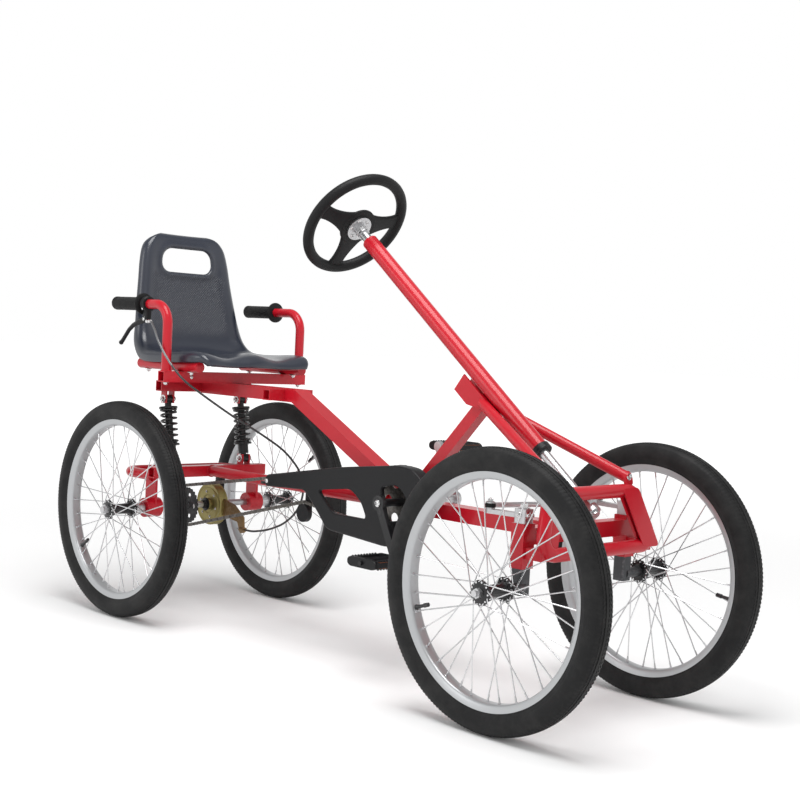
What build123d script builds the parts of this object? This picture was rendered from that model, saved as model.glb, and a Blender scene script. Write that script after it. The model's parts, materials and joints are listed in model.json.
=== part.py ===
"""Four-wheel pedal bike: welded tube frame, sprung rear axle, chain drive and a raked steering column.

Millimetres. +X points forward, +Y to the rider's left, +Z up. The origin is on the ground, on the
centre plane, halfway between the axles.
"""

import os
from math import atan2, cos, degrees, hypot, pi, radians, sin, sqrt, tan

from build123d import *

os.makedirs("parts", exist_ok=True)

# Wheels
WHEELBASE = 1188.0
FRONT_TRACK = 458.0
REAR_TRACK = 470.0
TYRE_RADIUS = 254.0
TYRE_WIDTH = 50.0
TYRE_BULGE_SHARE = 0.465
TYRE_SHOULDER_SHARE = 0.21
TYRE_SHOULDER_INSET = 5.0
TYRE_CROWN_INSET = 15.0
RIM_SEAT_RADIUS = 211.0
RIM_DEPTH = 15.0
RIM_WIDTH = 34.0
RIM_WELL_WIDTH = 22.0
SPOKE_COUNT = 36
SPOKE_SIZE = 2.2
FLANGE_SPACING = 62.0
FLANGE_RADIUS = 23.0
FLANGE_THICKNESS = 3.5
HUB_SHELL_RADIUS = 14.0
HUB_OVERHANG = 3.0
SPOKE_GAP = 0.25
SPOKE_LEAN = 62.0
SPOKE_SPREAD = 3.0
SPOKES_IN_GROUP = 4

# Front spindles, kingpins and knuckles
SPINDLE_RADIUS = 6.0
RUNNING_CLEARANCE = 0.05
SPINDLE_NUT_RADIUS = 9.5
SPINDLE_NUT_LENGTH = 8.0
SPINDLE_STUB = 6.0
KINGPIN_SETBACK = 79.0
KINGPIN_RADIUS = 8.0
KINGPIN_X_OFFSET = -6.0
HOUSING_SIZE = 30.0
HOUSING_BOTTOM = 288.0
HOUSING_TOP = 369.0
THRUST_GAP = 0.4
KNUCKLE_BLOCK = 26.0
KNUCKLE_CORNER = 4.0
SPINDLE_BLOCK_BOTTOM = 240.0
SPINDLE_SHOULDER_RADIUS = 10.0
KNUCKLE_CAP_HEIGHT = 26.0
STEER_ARM_REACH = 75.0
STEER_ARM_OFFSET = 8.0
STEER_ARM_WIDTH = 16.0
STEER_ARM_THICKNESS = 8.0
BALL_STUD_RADIUS = 4.0
BALL_STUD_PROUD = 3.0
ROD_EYE_RADIUS = 9.0
ROD_EYE_HEIGHT = 12.0
TIE_ROD_RADIUS = 5.0
TIE_ROD_GAP = 7.0

# Frame tubes
BEAM_WIDTH = 40.0
BEAM_HEIGHT = 30.0
BEAM_REAR_X = -592.0
BEAM_KINK_X = -237.0
BEAM_UPPER_Z = 545.0
BEAM_FOOT_X = 162.0
BEAM_LOWER_Z = 341.0
AXLE_TUBE_SIZE = 30.0
AXLE_TUBE_Z = 346.0
LOOP_TUBE_RADIUS = 13.0
LOOP_LOWER_X = 645.0
LOOP_LOWER_Z = 317.0
LOOP_OVERHANG = 15.0
LOOP_UPPER_X = 621.0
LOOP_UPPER_Z = 421.0
LOOP_TAPER = 43.0
LOOP_CORNER_RADIUS = 26.0
LOOP_PLATE_WIDTH = 42.0
LOOP_PLATE_INSET = 4.0
LOOP_PLATE_THICKNESS = 5.0
STUB_WIDTH = 20.0
BRACE_RADIUS = 11.0
BRACE_TOE_INSET = 12.0
STRUT_SIZE = 25.0
STRUT_FOOT_SETBACK = 24.0
SEAT_FIT = 0.3
APEX_X = 342.0
APEX_Z = 568.0
APEX_HALF = 10.0

# Steering column, in the centre plane
COLUMN_RAKE = 38.0
STEER_HUB_X = -55.0
STEER_HUB_Z = 916.0
COLUMN_RADIUS = 17.0
COLUMN_BORE = 11.0
SHAFT_RADIUS = 10.0
COLUMN_TOP = 42.0
COLUMN_BOTTOM = 690.0
BUSH_RADIUS = 19.5
BUSH_LENGTH = 12.0
SHAFT_END = 872.0
PITMAN_STATION = 802.0
PITMAN_REACH = 45.0
PITMAN_WIDTH = 18.0
PITMAN_THICKNESS = 8.0
LOWER_BEARING_START = 840.0
LOWER_BEARING_LENGTH = 26.0
LOWER_BEARING_RADIUS = 16.0
BEARING_HANGER = 9.0
BEARING_CLEAR_LENGTH = 60.0
BEARING_CLEAR_WALL = 3.0
BRACKET_REAR = 455.0
BRACKET_FRONT = 575.0
BRACKET_DROP = 40.0
BRACKET_PLATE = 4.0
BRACKET_HEEL = 45.0
BRACKET_NOSE = 20.0
BRACKET_NOSE_DROP = 12.0
BRIDGE_LENGTH = 60.0
BRIDGE_DEPTH = 20.0
STEER_WHEEL_RADIUS = 128.0
STEER_RIM_RADIUS = 12.0
STEER_WHEEL_SETBACK = 22.0
STEER_SPOKE_WIDTH = 26.0
STEER_SPOKE_THICKNESS = 9.0
STEER_HUB_RADIUS = 33.0
HUB_PLATE_RADIUS = 29.0
HUB_PLATE_THICKNESS = 4.0
HUB_PLATE_LIFT = 4.0
HUB_PLATE_BOLTS = 6
HUB_PLATE_BOLT_INSET = 7.0
HUB_PLATE_BOLT_RADIUS = 3.0
HUB_SLEEVE_WALL = 3.0
HUB_SLEEVE_END = 16.0
STEER_SPOKE_ROOT = 6.0
STEER_SPOKE_ANGLES = (0.0, 90.0, 180.0)

# Drive
BRACKET_X = 165.0
BRACKET_Z = 352.0
SHELL_RADIUS = 20.0
SHELL_LENGTH = 68.0
CRANK_AXLE_RADIUS = 8.5
CRANK_LENGTH = 120.0
CRANK_INNER_FACE = 104.0
CRANK_THICKNESS = 10.0
CRANK_BOSS_RADIUS = 16.0
CRANK_TIP_RADIUS = 11.0
CRANK_ANGLE = -63.0
CRANK_ARM_WIDTH = 18.0
SPIDER_RADIUS = 26.0
SPIDER_THICKNESS = 4.0
PEDAL_WINDOW_OFFSET = 22.0
PEDAL_WINDOW_LENGTH = 24.0
PEDAL_RAIL = 10.0
PEDAL_CORNER = 8.0
PEDAL_WINDOW_CORNER = 3.0
PEDAL_AXLE_RADIUS = 4.5
PEDAL_LENGTH = 84.0
PEDAL_WIDTH = 84.0
PEDAL_THICKNESS = 22.0
PEDAL_GAP = 4.0
CHAIN_PITCH = 12.7
CHAINRING_TEETH = 36
SPROCKET_TEETH = 24
CHAIN_LINE = -45.0
CHAIN_WIDTH = 6.5
CHAIN_HALF_HEIGHT = 4.2
CHAIN_WAIST = 3.0
TOOTH_CLEARANCE = 0.6
TOOTH_HEIGHT = 4.0
TOOTH_START_SHARE = 0.3
TOOTH_END_SHARE = 0.7
CHAINRING_HOLES = 6
CHAINRING_HOLE_RADIUS = 11.0
CHAINRING_HOLE_CIRCLE = 42.0
SPROCKET_HOLES = 5
SPROCKET_HOLE_RADIUS = 6.0
SPROCKET_HOLE_CIRCLE = 26.0
SPROCKET_BOSS_RADIUS = 22.0
SPROCKET_BOSS_LENGTH = 10.0
PLATE_THICKNESS = 2.6
ROLLER_X = -148.0
ROLLER_Z = 290.0
ROLLER_RADIUS = 20.0
ROLLER_WIDTH = 12.0
ROLLER_PIN_RADIUS = 5.0
ROLLER_HANGER_GAP = 4.0
ROLLER_HANGER_THICKNESS = 4.0
ROLLER_HANGER_HALF = 10.0
ROLLER_HANGER_FOOT = 8.0
ROLLER_HANGER_LAP = 6.0

# Chain guard
GUARD_INNER = -66.0
GUARD_OUTER = -96.0
GUARD_WALL = 3.0
GUARD_CORNER = 6.0
GUARD_OPENING_CORNER = 10.0
REAR_STAY_X = -240.0
REAR_STAY_HALF = 6.0
REAR_STAY_LIFT = 7.0
REAR_STAY_THICKNESS = 6.0
FRONT_STAY_X = 60.0
FRONT_STAY_HALF = 8.0
FRONT_STAY_Z = 387.0
FRONT_STAY_THICKNESS = 8.0

# Rear axle and suspension
AXLE_SHAFT_RADIUS = 8.0
AXLE_NUT_RADIUS = 12.0
BEARING_SETBACK = 85.0
HOLDER_RADIUS = 23.0
HOLDER_LENGTH = 40.0
CROSS_X = -575.0
CROSS_Z = 340.0
CROSS_SIZE = 26.0
CROSS_OVERHANG = 15.0
HANGER_WIDTH = 42.0
HANGER_THICKNESS = 6.0
REAR_LOOP_X = -713.0
REAR_LOOP_Z = 330.0
REAR_LOOP_TUBE = 12.5
REAR_LOOP_CORNER = 40.0
SWING_RADIUS = 13.0
SWING_Z = 340.0
PIVOT_X = 62.0
PIVOT_RADIUS = 15.0
PIVOT_PLATE = 5.0
PIVOT_PLATE_HALF = 18.0
PIVOT_PLATE_FOOT = 14.0
PIVOT_PLATE_HEAD = 44.0
PIVOT_BOLT_RADIUS = 8.0
PIVOT_BOLT_HEAD = 5.0
SHOCK_INSET = 42.0
SHOCK_TOP_Z = 514.0
SHOCK_BOTTOM_Z = 368.0
SHOCK_TOP_X = -602.0
SHOCK_BOTTOM_X = -578.0
SHOCK_EAR = 4.0
SHOCK_BODY_RADIUS = 13.0
SHOCK_ROD_RADIUS = 9.0
SHOCK_NECK_RADIUS = 8.0
SHOCK_FOOT_RADIUS = 7.0
SHOCK_FOOT_LENGTH = 12.0
SHOCK_SPRING_START = 24.0
SHOCK_EYE_RADIUS = 10.0
SHOCK_EYE_WIDTH = 16.0
SPRING_RADIUS = 18.0
SPRING_WIRE = 6.0
SPRING_TURNS = 5
SPRING_LENGTH = 84.0
SPRING_STATIONS = 12
SPRING_CUP_RADIUS = 22.0
SPRING_CUP_HEIGHT = 5.0
BRAKE_Y = 28.0
BRAKE_RADIUS = 52.0
BRAKE_WIDTH = 22.0
BRAKE_SHEET = 3.0
BRAKE_BOSS_RADIUS = 14.0
BRAKE_BOSS_LENGTH = 8.0
BRAKE_WINDOWS = 3
BRAKE_WINDOW_CIRCLE = 32.0
BRAKE_WINDOW_LENGTH = 26.0
BRAKE_WINDOW_WIDTH = 13.0
BRAKE_ANCHOR_HALF = 8.0
BRAKE_ANCHOR_THICKNESS = 4.0
BRAKE_ANCHOR_LAP = 8.0
BRAKE_ARM_THICKNESS = 4.0
BRAKE_ARM_CORNER = 5.0
BRAKE_ARM_CLEAR = 20.0
CABLE_STOP_RADIUS = 6.0
CABLE_STOP_HALF = 9.0
DRUM_RADIUS = 43.0
DRUM_GAP = 5.5
COLLAR_RADIUS = 13.0
COLLAR_GAP = 5.0
TUBE_POCKET = 18.0
TUBE_WALL = 2.5

# Seat and arms
SEAT_TUBE = 25.0
UPPER_CROSS_X = -606.0
UPPER_CROSS_OVERHANG = 25.0
FRONT_CROSS_X = -279.0
FRONT_CROSS_HALF = 63.0
ARM_CROSS_X = -484.0
ARM_CROSS_HALF = 208.0
ARM_HALF_TRACK = 195.0
ARM_RADIUS = 11.0
ARM_TOP_Z = 737.0
ARM_BEND = 45.0
ARM_REAR_X = -697.0
GRIP_FRONT_X = -583.0
GRIP_REAR_X = -703.0
GRIP_RADIUS = 16.0
GRIP_COLLAR_RADIUS = 25.0
GRIP_COLLAR = 6.0
RAIL_RADIUS = 12.5
RAIL_HALF_TRACK = 150.0
RAIL_REAR_X = -655.0
RAIL_FRONT_X = -415.0
SEAT_WALL = 5.0
SEAT_SLOT_LENGTH = 136.0
SEAT_SLOT_HEIGHT = 58.0
SEAT_SLOT_CORNER = 24.0
SEAT_LIP_START = 6.0
SEAT_LIP_DEPTH = 16.0
SEAT_POST_RADIUS = 8.0
SEAT_CUT_REACH = 40.0
LEVER_CLAMP_X = -568.0
LEVER_CLAMP_WIDTH = 14.0
LEVER_CLAMP_RADIUS = 18.0
LEVER_THICKNESS = 10.0
LEVER_BODY_HALF = 8.0
LEVER_BODY_BOTTOM = 694.0
LEVER_BODY_REAR = 6.0
LEVER_BODY_FRONT = 1.0
LEVER_BODY_DROP = 12.0
LEVER_CLEAR = 20.0
LEVER_CABLE_X = -560.0
LEVER_CABLE_Z = 697.0
LEVER_CABLE_OFFSET = 4.0
CABLE_RADIUS = 2.5
CABLE_FRONT_LEAD = 14.0
CABLE_REAR_LEAD = 30.0
CABLE_BEND_SHARE = 0.45

# Worked out from the sizes above
FRONT_AXLE_X = WHEELBASE / 2
REAR_AXLE_X = -WHEELBASE / 2
AXLE_Z = TYRE_RADIUS
KINGPIN_X = FRONT_AXLE_X + KINGPIN_X_OFFSET
KINGPIN_TRACK = FRONT_TRACK - 2 * KINGPIN_SETBACK
LOOP_LOWER_HALF = KINGPIN_TRACK / 2 + LOOP_OVERHANG
LOOP_UPPER_HALF = LOOP_LOWER_HALF - LOOP_TAPER
BRACE_TOE_HALF = LOOP_UPPER_HALF - BRACE_TOE_INSET
BEARING_HALF_TRACK = REAR_TRACK / 2 - BEARING_SETBACK
CROSS_HALF = BEARING_HALF_TRACK + CROSS_OVERHANG
SHOCK_HALF = BEARING_HALF_TRACK - SHOCK_INSET
UPPER_CROSS_HALF = SHOCK_HALF + UPPER_CROSS_OVERHANG
RAKE = radians(COLUMN_RAKE)
DOWN_COLUMN = Vector(cos(RAKE), 0, -sin(RAKE))
BELOW_COLUMN = Vector(-sin(RAKE), 0, -cos(RAKE))
STEER_HUB = Vector(STEER_HUB_X, 0, STEER_HUB_Z)


def column_point(station, drop=0.0):
    """A point on the column's axis, station mm down from the steering wheel's hub."""
    return STEER_HUB + DOWN_COLUMN * station + BELOW_COLUMN * drop


def save(builder, name):
    """Labels a finished piece and writes it."""
    builder.part.label = name
    export_step(builder.part, f"parts/{name}.step")
    return builder.part


def round_bar(start, end, radius, mode=Mode.ADD):
    """A round bar from one point to another, in the active part."""
    axis = Vector(end) - Vector(start)
    with BuildSketch(Plane(origin=start, z_dir=axis)) as section:
        Circle(radius)
    extrude(section.sketch, amount=axis.length, mode=mode)


def box_bar(start, end, across, high, mode=Mode.ADD):
    """A rectangular bar between two points of a plane y = constant; across is its width in Y."""
    axis = Vector(end) - Vector(start)
    with BuildSketch(Plane(origin=start, x_dir=(0, 1, 0), z_dir=axis)) as section:
        Rectangle(across, high)
    extrude(section.sketch, amount=axis.length, mode=mode)


def swept_tube(points, radius, bends, closed=False):
    """A round tube along straight runs with rounded corners, in the active part."""
    with BuildLine() as route:
        FilletPolyline(*points, radius=bends, close=closed)
    with BuildSketch(Plane(origin=route.line @ 0, z_dir=route.line % 0)) as section:
        Circle(radius)
    sweep(section.sketch, path=route.line)


def block(low, high, mode=Mode.ADD):
    """A block between two corners, in the active part."""
    size = [b - a for a, b in zip(low, high)]
    with Locations([((low[0] + high[0]) / 2, (low[1] + high[1]) / 2, (low[2] + high[2]) / 2)]):
        Box(*size, mode=mode)


# Wheels: each is made about the origin with its axle along Y, then placed
WHEEL_PLACES = {
    "front_left": (FRONT_AXLE_X, FRONT_TRACK / 2),
    "front_right": (FRONT_AXLE_X, -FRONT_TRACK / 2),
    "rear_left": (REAR_AXLE_X, REAR_TRACK / 2),
    "rear_right": (REAR_AXLE_X, -REAR_TRACK / 2),
}
HUB_HALF = FLANGE_SPACING / 2 + HUB_OVERHANG
TYRE_HEIGHT = TYRE_RADIUS - RIM_SEAT_RADIUS
# Half sections of revolution as (radius, distance from the wheel's plane)
TYRE_SECTION = [
    (RIM_SEAT_RADIUS, RIM_WIDTH / 2),
    (RIM_SEAT_RADIUS + TYRE_BULGE_SHARE * TYRE_HEIGHT, TYRE_WIDTH / 2),
    (TYRE_RADIUS - TYRE_SHOULDER_SHARE * TYRE_HEIGHT, TYRE_WIDTH / 2 - TYRE_SHOULDER_INSET),
    (TYRE_RADIUS, TYRE_WIDTH / 2 - TYRE_CROWN_INSET),
]
RIM_SECTION = [
    (RIM_SEAT_RADIUS - RIM_DEPTH, RIM_WELL_WIDTH / 2),
    (RIM_SEAT_RADIUS, RIM_WIDTH / 2),
]


def ring_of(half_section):
    """Revolves a half section about the wheel's axle and mirrors it across the wheel's plane."""
    outline = [(r, w) for r, w in half_section] + [(r, -w) for r, w in reversed(half_section)]
    with BuildSketch(Plane.XY) as section:
        with BuildLine():
            Polyline(*outline, close=True)
        make_face()
    revolve(section.sketch, axis=Axis.Y)


def spoke(number):
    """One spoke: from its flange, leaning forward or back, to the middle of the rim."""
    side = 1 if number % 2 else -1
    lean = 1 if (number // 2) % 2 else -1
    rim_angle = 2 * pi * number / SPOKE_COUNT
    hub_angle = rim_angle + lean * radians(SPOKE_LEAN)
    root = FLANGE_RADIUS - FLANGE_THICKNESS
    rim_end = RIM_SEAT_RADIUS - RIM_DEPTH - SPOKE_GAP
    start = Vector(root * cos(hub_angle), side * FLANGE_SPACING / 2, root * sin(hub_angle))
    end = Vector(rim_end * cos(rim_angle), side * SPOKE_SPREAD, rim_end * sin(rim_angle))
    with BuildSketch(Plane(origin=start, z_dir=end - start)) as wire:
        RegularPolygon(SPOKE_SIZE / 2, 3)
    extrude(wire.sketch, amount=(end - start).length)


def spoked_hub(bore):
    """A hub shell with two flanges, and its spokes out to the rim."""
    with BuildPart() as spokes:
        for number in range(SPOKES_IN_GROUP):
            spoke(number)
    turns = range(SPOKE_COUNT // SPOKES_IN_GROUP)
    with BuildPart() as hub:
        with BuildSketch(Plane.XZ.offset(-HUB_HALF)):
            Circle(HUB_SHELL_RADIUS)
        extrude(amount=2 * HUB_HALF)
        for side in (-1, 1):
            middle = side * FLANGE_SPACING / 2
            with BuildSketch(Plane.XZ.offset(-middle - FLANGE_THICKNESS / 2)):
                Circle(FLANGE_RADIUS)
            extrude(amount=FLANGE_THICKNESS)
        with Locations(*[Location((0, 0, 0), (0, 360 * turn / len(turns), 0)) for turn in turns]):
            add(spokes.part)
        with BuildSketch(Plane.XZ.offset(-HUB_HALF)):
            Circle(bore)
        extrude(amount=2 * HUB_HALF, mode=Mode.SUBTRACT)
    return hub.part


HUBS = {
    "front": spoked_hub(SPINDLE_RADIUS + RUNNING_CLEARANCE),
    "rear": spoked_hub(AXLE_SHAFT_RADIUS + RUNNING_CLEARANCE),
}
with BuildPart() as tyre_ring:
    ring_of(TYRE_SECTION)
with BuildPart() as rim_ring:
    ring_of(RIM_SECTION)
for place, (wheel_x, wheel_y) in WHEEL_PLACES.items():
    for piece, shape in (("tyre", tyre_ring.part), ("rim", rim_ring.part), ("hub", HUBS[place.split("_")[0]])):
        with BuildPart() as placed:
            with Locations((wheel_x, wheel_y, AXLE_Z)):
                add(shape)
        save(placed, f"{piece}_{place}")

# Main beam: level under the seat, down to the bottom bracket, level to the front axle
BEAM_FRONT_X = KINGPIN_X - AXLE_TUBE_SIZE / 2
with BuildPart() as main_beam:
    with BuildLine() as beam_path:
        Polyline(
            (BEAM_REAR_X, 0, BEAM_UPPER_Z),
            (BEAM_KINK_X, 0, BEAM_UPPER_Z),
            (BEAM_FOOT_X, 0, BEAM_LOWER_Z),
            (BEAM_FRONT_X, 0, BEAM_LOWER_Z),
        )
    with BuildSketch(Plane.YZ.offset(BEAM_REAR_X)):
        with Locations((0, BEAM_UPPER_Z)):
            Rectangle(BEAM_WIDTH, BEAM_HEIGHT)
    sweep(path=beam_path.line, transition=Transition.RIGHT)
    with BuildSketch(Plane.XZ.offset(-SHELL_LENGTH / 2)):
        with Locations((BRACKET_X, BRACKET_Z)):
            Circle(SHELL_RADIUS)
    extrude(amount=SHELL_LENGTH)
    with BuildSketch(Plane.XZ.offset(-SHELL_LENGTH / 2)):
        with Locations((BRACKET_X, BRACKET_Z)):
            Circle(CRANK_AXLE_RADIUS + RUNNING_CLEARANCE)
    extrude(amount=SHELL_LENGTH, mode=Mode.SUBTRACT)
save(main_beam, "main_beam")

# Front axle tube with a kingpin housing at each end
with BuildPart() as front_axle_tube:
    half = AXLE_TUBE_SIZE / 2
    reach = KINGPIN_TRACK / 2
    block((KINGPIN_X - half, -reach, AXLE_TUBE_Z - half), (KINGPIN_X + half, reach, AXLE_TUBE_Z + half))
    for side in (-1, 1):
        middle = side * reach
        low = (KINGPIN_X - HOUSING_SIZE / 2, middle - HOUSING_SIZE / 2, HOUSING_BOTTOM)
        high = (KINGPIN_X + HOUSING_SIZE / 2, middle + HOUSING_SIZE / 2, HOUSING_TOP)
        block(low, high)
    for side in (-1, 1):
        bottom = (KINGPIN_X, side * reach, HOUSING_BOTTOM)
        top = (KINGPIN_X, side * reach, HOUSING_TOP)
        round_bar(bottom, top, KINGPIN_RADIUS + RUNNING_CLEARANCE, mode=Mode.SUBTRACT)
save(front_axle_tube, "front_axle_tube")

# Front loop: a leaning trapezoid of round tube with a flat plate at each end
LOOP_LEAN = Vector(LOOP_UPPER_X - LOOP_LOWER_X, 0, LOOP_UPPER_Z - LOOP_LOWER_Z)
LOOP_HEIGHT = LOOP_LEAN.length
LOOP_PLANE = Plane(
    origin=(LOOP_LOWER_X, 0, LOOP_LOWER_Z), x_dir=(0, 1, 0), z_dir=Vector(0, 1, 0).cross(LOOP_LEAN)
)
with BuildPart() as front_loop:
    corners = [
        (LOOP_LOWER_HALF, 0),
        (LOOP_UPPER_HALF, LOOP_HEIGHT),
        (-LOOP_UPPER_HALF, LOOP_HEIGHT),
        (-LOOP_LOWER_HALF, 0),
    ]
    rounded = [LOOP_PLANE.from_local_coords(Vector(*corner)) for corner in corners]
    swept_tube(rounded, LOOP_TUBE_RADIUS, LOOP_CORNER_RADIUS, closed=True)
    for side in (-1, 1):
        plate = [
            (side * (LOOP_LOWER_HALF - LOOP_PLATE_INSET), 0),
            (side * (LOOP_UPPER_HALF - LOOP_PLATE_INSET), LOOP_HEIGHT),
            (side * (LOOP_UPPER_HALF - LOOP_PLATE_WIDTH), LOOP_HEIGHT),
            (side * (LOOP_LOWER_HALF - LOOP_PLATE_WIDTH), 0),
        ]
        with BuildSketch(LOOP_PLANE) as sheet:
            with BuildLine():
                Polyline(*plate, close=True)
            make_face()
        extrude(sheet.sketch, amount=LOOP_PLATE_THICKNESS / 2, both=True)
        stub_y = side * KINGPIN_TRACK / 2
        low = (KINGPIN_X + HOUSING_SIZE / 2, stub_y - STUB_WIDTH / 2, LOOP_LOWER_Z - STUB_WIDTH / 2)
        high = (LOOP_LOWER_X, stub_y + STUB_WIDTH / 2, LOOP_LOWER_Z + STUB_WIDTH / 2)
        block(low, high)
save(front_loop, "front_loop")

# Braces from the apex of the steering support to the loop's upper corners
BRACE_TOE = LOOP_PLANE.from_local_coords(Vector(BRACE_TOE_HALF, LOOP_HEIGHT + LOOP_TUBE_RADIUS + SEAT_FIT))
with BuildPart() as braces:
    for side in (-1, 1):
        heel = Vector(APEX_X, side * APEX_HALF, APEX_Z)
        toe = Vector(BRACE_TOE.X, side * BRACE_TOE_HALF, BRACE_TOE.Z + BRACE_RADIUS)
        round_bar(heel, toe, BRACE_RADIUS)
    add(front_loop.part, mode=Mode.SUBTRACT)
save(braces, "front_braces")

# Rear strut of the steering support, from the bottom bracket up to the apex
with BuildPart() as strut:
    foot = (BRACKET_X - STRUT_FOOT_SETBACK, 0, BRACKET_Z)
    box_bar(foot, (APEX_X, 0, APEX_Z), STRUT_SIZE, STRUT_SIZE)
    add(main_beam.part, mode=Mode.SUBTRACT)
    add(braces.part, mode=Mode.SUBTRACT)
    strut_top = strut.part.solids().sort_by(SortBy.VOLUME)[-1]
with BuildPart() as steering_strut:
    add(strut_top)
save(steering_strut, "steering_strut")

# Steering column, its lower bush and the plate that ties it to the apex
with BuildPart() as column_tube:
    round_bar(column_point(COLUMN_TOP), column_point(COLUMN_BOTTOM), COLUMN_RADIUS)
    round_bar(column_point(COLUMN_TOP), column_point(COLUMN_BOTTOM), COLUMN_BORE, mode=Mode.SUBTRACT)
save(column_tube, "column_tube")

with BuildPart() as column_bush:
    start, end = column_point(COLUMN_BOTTOM), column_point(COLUMN_BOTTOM + BUSH_LENGTH)
    round_bar(start, end, BUSH_RADIUS)
    round_bar(start, end, SHAFT_RADIUS + RUNNING_CLEARANCE, mode=Mode.SUBTRACT)
save(column_bush, "column_bush")

with BuildPart() as column_bracket:
    web = [
        column_point(BRACKET_REAR, COLUMN_RADIUS),
        column_point(BRACKET_FRONT, COLUMN_RADIUS),
        column_point(BRACKET_FRONT - BRACKET_NOSE, COLUMN_RADIUS + BRACKET_NOSE_DROP),
        column_point(BRACKET_REAR + BRACKET_HEEL, COLUMN_RADIUS + BRACKET_DROP),
        column_point(BRACKET_REAR, COLUMN_RADIUS + BRACKET_DROP),
    ]
    for side in (-1, 1):
        inner = side * (STRUT_SIZE / 2 + SEAT_FIT)
        outer = inner + side * BRACKET_PLATE
        with BuildSketch(Plane.XZ.offset(-max(inner, outer))) as ear:
            with BuildLine():
                Polyline(*[(point.X, point.Z) for point in web], close=True)
            make_face()
        extrude(ear.sketch, amount=BRACKET_PLATE)
    bridge = [
        column_point(BRACKET_FRONT - BRIDGE_LENGTH, COLUMN_RADIUS),
        column_point(BRACKET_FRONT, COLUMN_RADIUS),
        column_point(BRACKET_FRONT - BRACKET_NOSE, COLUMN_RADIUS + BRACKET_NOSE_DROP),
        column_point(BRACKET_FRONT - BRIDGE_LENGTH, COLUMN_RADIUS + BRIDGE_DEPTH),
    ]
    with BuildSketch(Plane.XZ) as filler:
        with BuildLine():
            Polyline(*[(point.X, point.Z) for point in bridge], close=True)
        make_face()
    extrude(filler.sketch, amount=STRUT_SIZE / 2 + SEAT_FIT, both=True)
    add(column_tube.part, mode=Mode.SUBTRACT)
    add(steering_strut.part, mode=Mode.SUBTRACT)
    add(braces.part, mode=Mode.SUBTRACT)
save(column_bracket, "column_bracket")

# Lower bearing of the steering shaft, hung from the loop's upper tube
with BuildPart() as lower_bearing:
    start = column_point(LOWER_BEARING_START)
    end = column_point(LOWER_BEARING_START + LOWER_BEARING_LENGTH)
    round_bar(start, end, LOWER_BEARING_RADIUS)
    low = ((start + end) * 0.5).X - BEARING_HANGER
    high = ((start + end) * 0.5).X + BEARING_HANGER
    block((low, -BEARING_HANGER, start.Z), (high, BEARING_HANGER, LOOP_UPPER_Z))
    round_bar(start, end, SHAFT_RADIUS + RUNNING_CLEARANCE, mode=Mode.SUBTRACT)
    above = column_point(LOWER_BEARING_START - BEARING_CLEAR_LENGTH)
    round_bar(above, start, LOWER_BEARING_RADIUS + BEARING_CLEAR_WALL, mode=Mode.SUBTRACT)
    add(front_loop.part, mode=Mode.SUBTRACT)
    add(front_axle_tube.part, mode=Mode.SUBTRACT)
save(lower_bearing, "lower_bearing")

# Steering shaft with its pitman arm, hub plate and wheel
with BuildPart() as steering_shaft:
    round_bar(column_point(HUB_SLEEVE_END), column_point(SHAFT_END), SHAFT_RADIUS)
    arm_middle = column_point(PITMAN_STATION - PITMAN_THICKNESS / 2, PITMAN_REACH / 2)
    with BuildSketch(Plane(origin=arm_middle, x_dir=(0, 1, 0), z_dir=DOWN_COLUMN)) as arm:
        SlotCenterToCenter(PITMAN_REACH, PITMAN_WIDTH, rotation=90)
    extrude(arm.sketch, amount=PITMAN_THICKNESS)
save(steering_shaft, "steering_shaft")

WHEEL_PLANE = Plane(origin=column_point(0), x_dir=(0, 1, 0), z_dir=DOWN_COLUMN * -1)
with BuildPart() as hub_plate:
    with BuildSketch(WHEEL_PLANE.offset(HUB_PLATE_LIFT)) as disc:
        Circle(HUB_PLATE_RADIUS)
        with PolarLocations(HUB_PLATE_RADIUS - HUB_PLATE_BOLT_INSET, HUB_PLATE_BOLTS):
            Circle(HUB_PLATE_BOLT_RADIUS, mode=Mode.SUBTRACT)
    extrude(disc.sketch, amount=HUB_PLATE_THICKNESS)
    sleeve_radius = SHAFT_RADIUS + HUB_SLEEVE_WALL
    round_bar(column_point(HUB_SLEEVE_END), column_point(-HUB_PLATE_LIFT), sleeve_radius)
save(hub_plate, "steering_hub_plate")

with BuildPart() as steering_wheel:
    rim_centre = WHEEL_PLANE.offset(STEER_WHEEL_SETBACK)
    ring_radius = STEER_WHEEL_RADIUS - STEER_RIM_RADIUS
    ring_point = rim_centre.from_local_coords(Vector(ring_radius, 0, 0))
    with BuildSketch(Plane(origin=ring_point, x_dir=rim_centre.x_dir, z_dir=rim_centre.y_dir)) as grip_section:
        RegularPolygon(STEER_RIM_RADIUS, 10)
    revolve(grip_section.sketch, axis=Axis(rim_centre.origin, rim_centre.z_dir))
    hub_level = HUB_PLATE_LIFT + HUB_PLATE_THICKNESS + SEAT_FIT
    with BuildSketch(WHEEL_PLANE.offset(hub_level)) as boss:
        Circle(STEER_HUB_RADIUS)
    extrude(boss.sketch, amount=STEER_SPOKE_THICKNESS)
    for angle in STEER_SPOKE_ANGLES:
        out = Vector(cos(radians(angle)), sin(radians(angle)), 0)
        start = WHEEL_PLANE.from_local_coords(
            out * (STEER_HUB_RADIUS - STEER_SPOKE_ROOT) + Vector(0, 0, hub_level + STEER_SPOKE_THICKNESS / 2)
        )
        end = rim_centre.from_local_coords(out * ring_radius)
        across = WHEEL_PLANE.from_local_coords(Vector(-out.Y, out.X, 0)) - WHEEL_PLANE.origin
        with BuildSketch(Plane(origin=start, x_dir=across, z_dir=end - start)) as spoke_section:
            Rectangle(STEER_SPOKE_WIDTH, STEER_SPOKE_THICKNESS)
        extrude(spoke_section.sketch, amount=(end - start).length)
save(steering_wheel, "steering_wheel")

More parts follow.
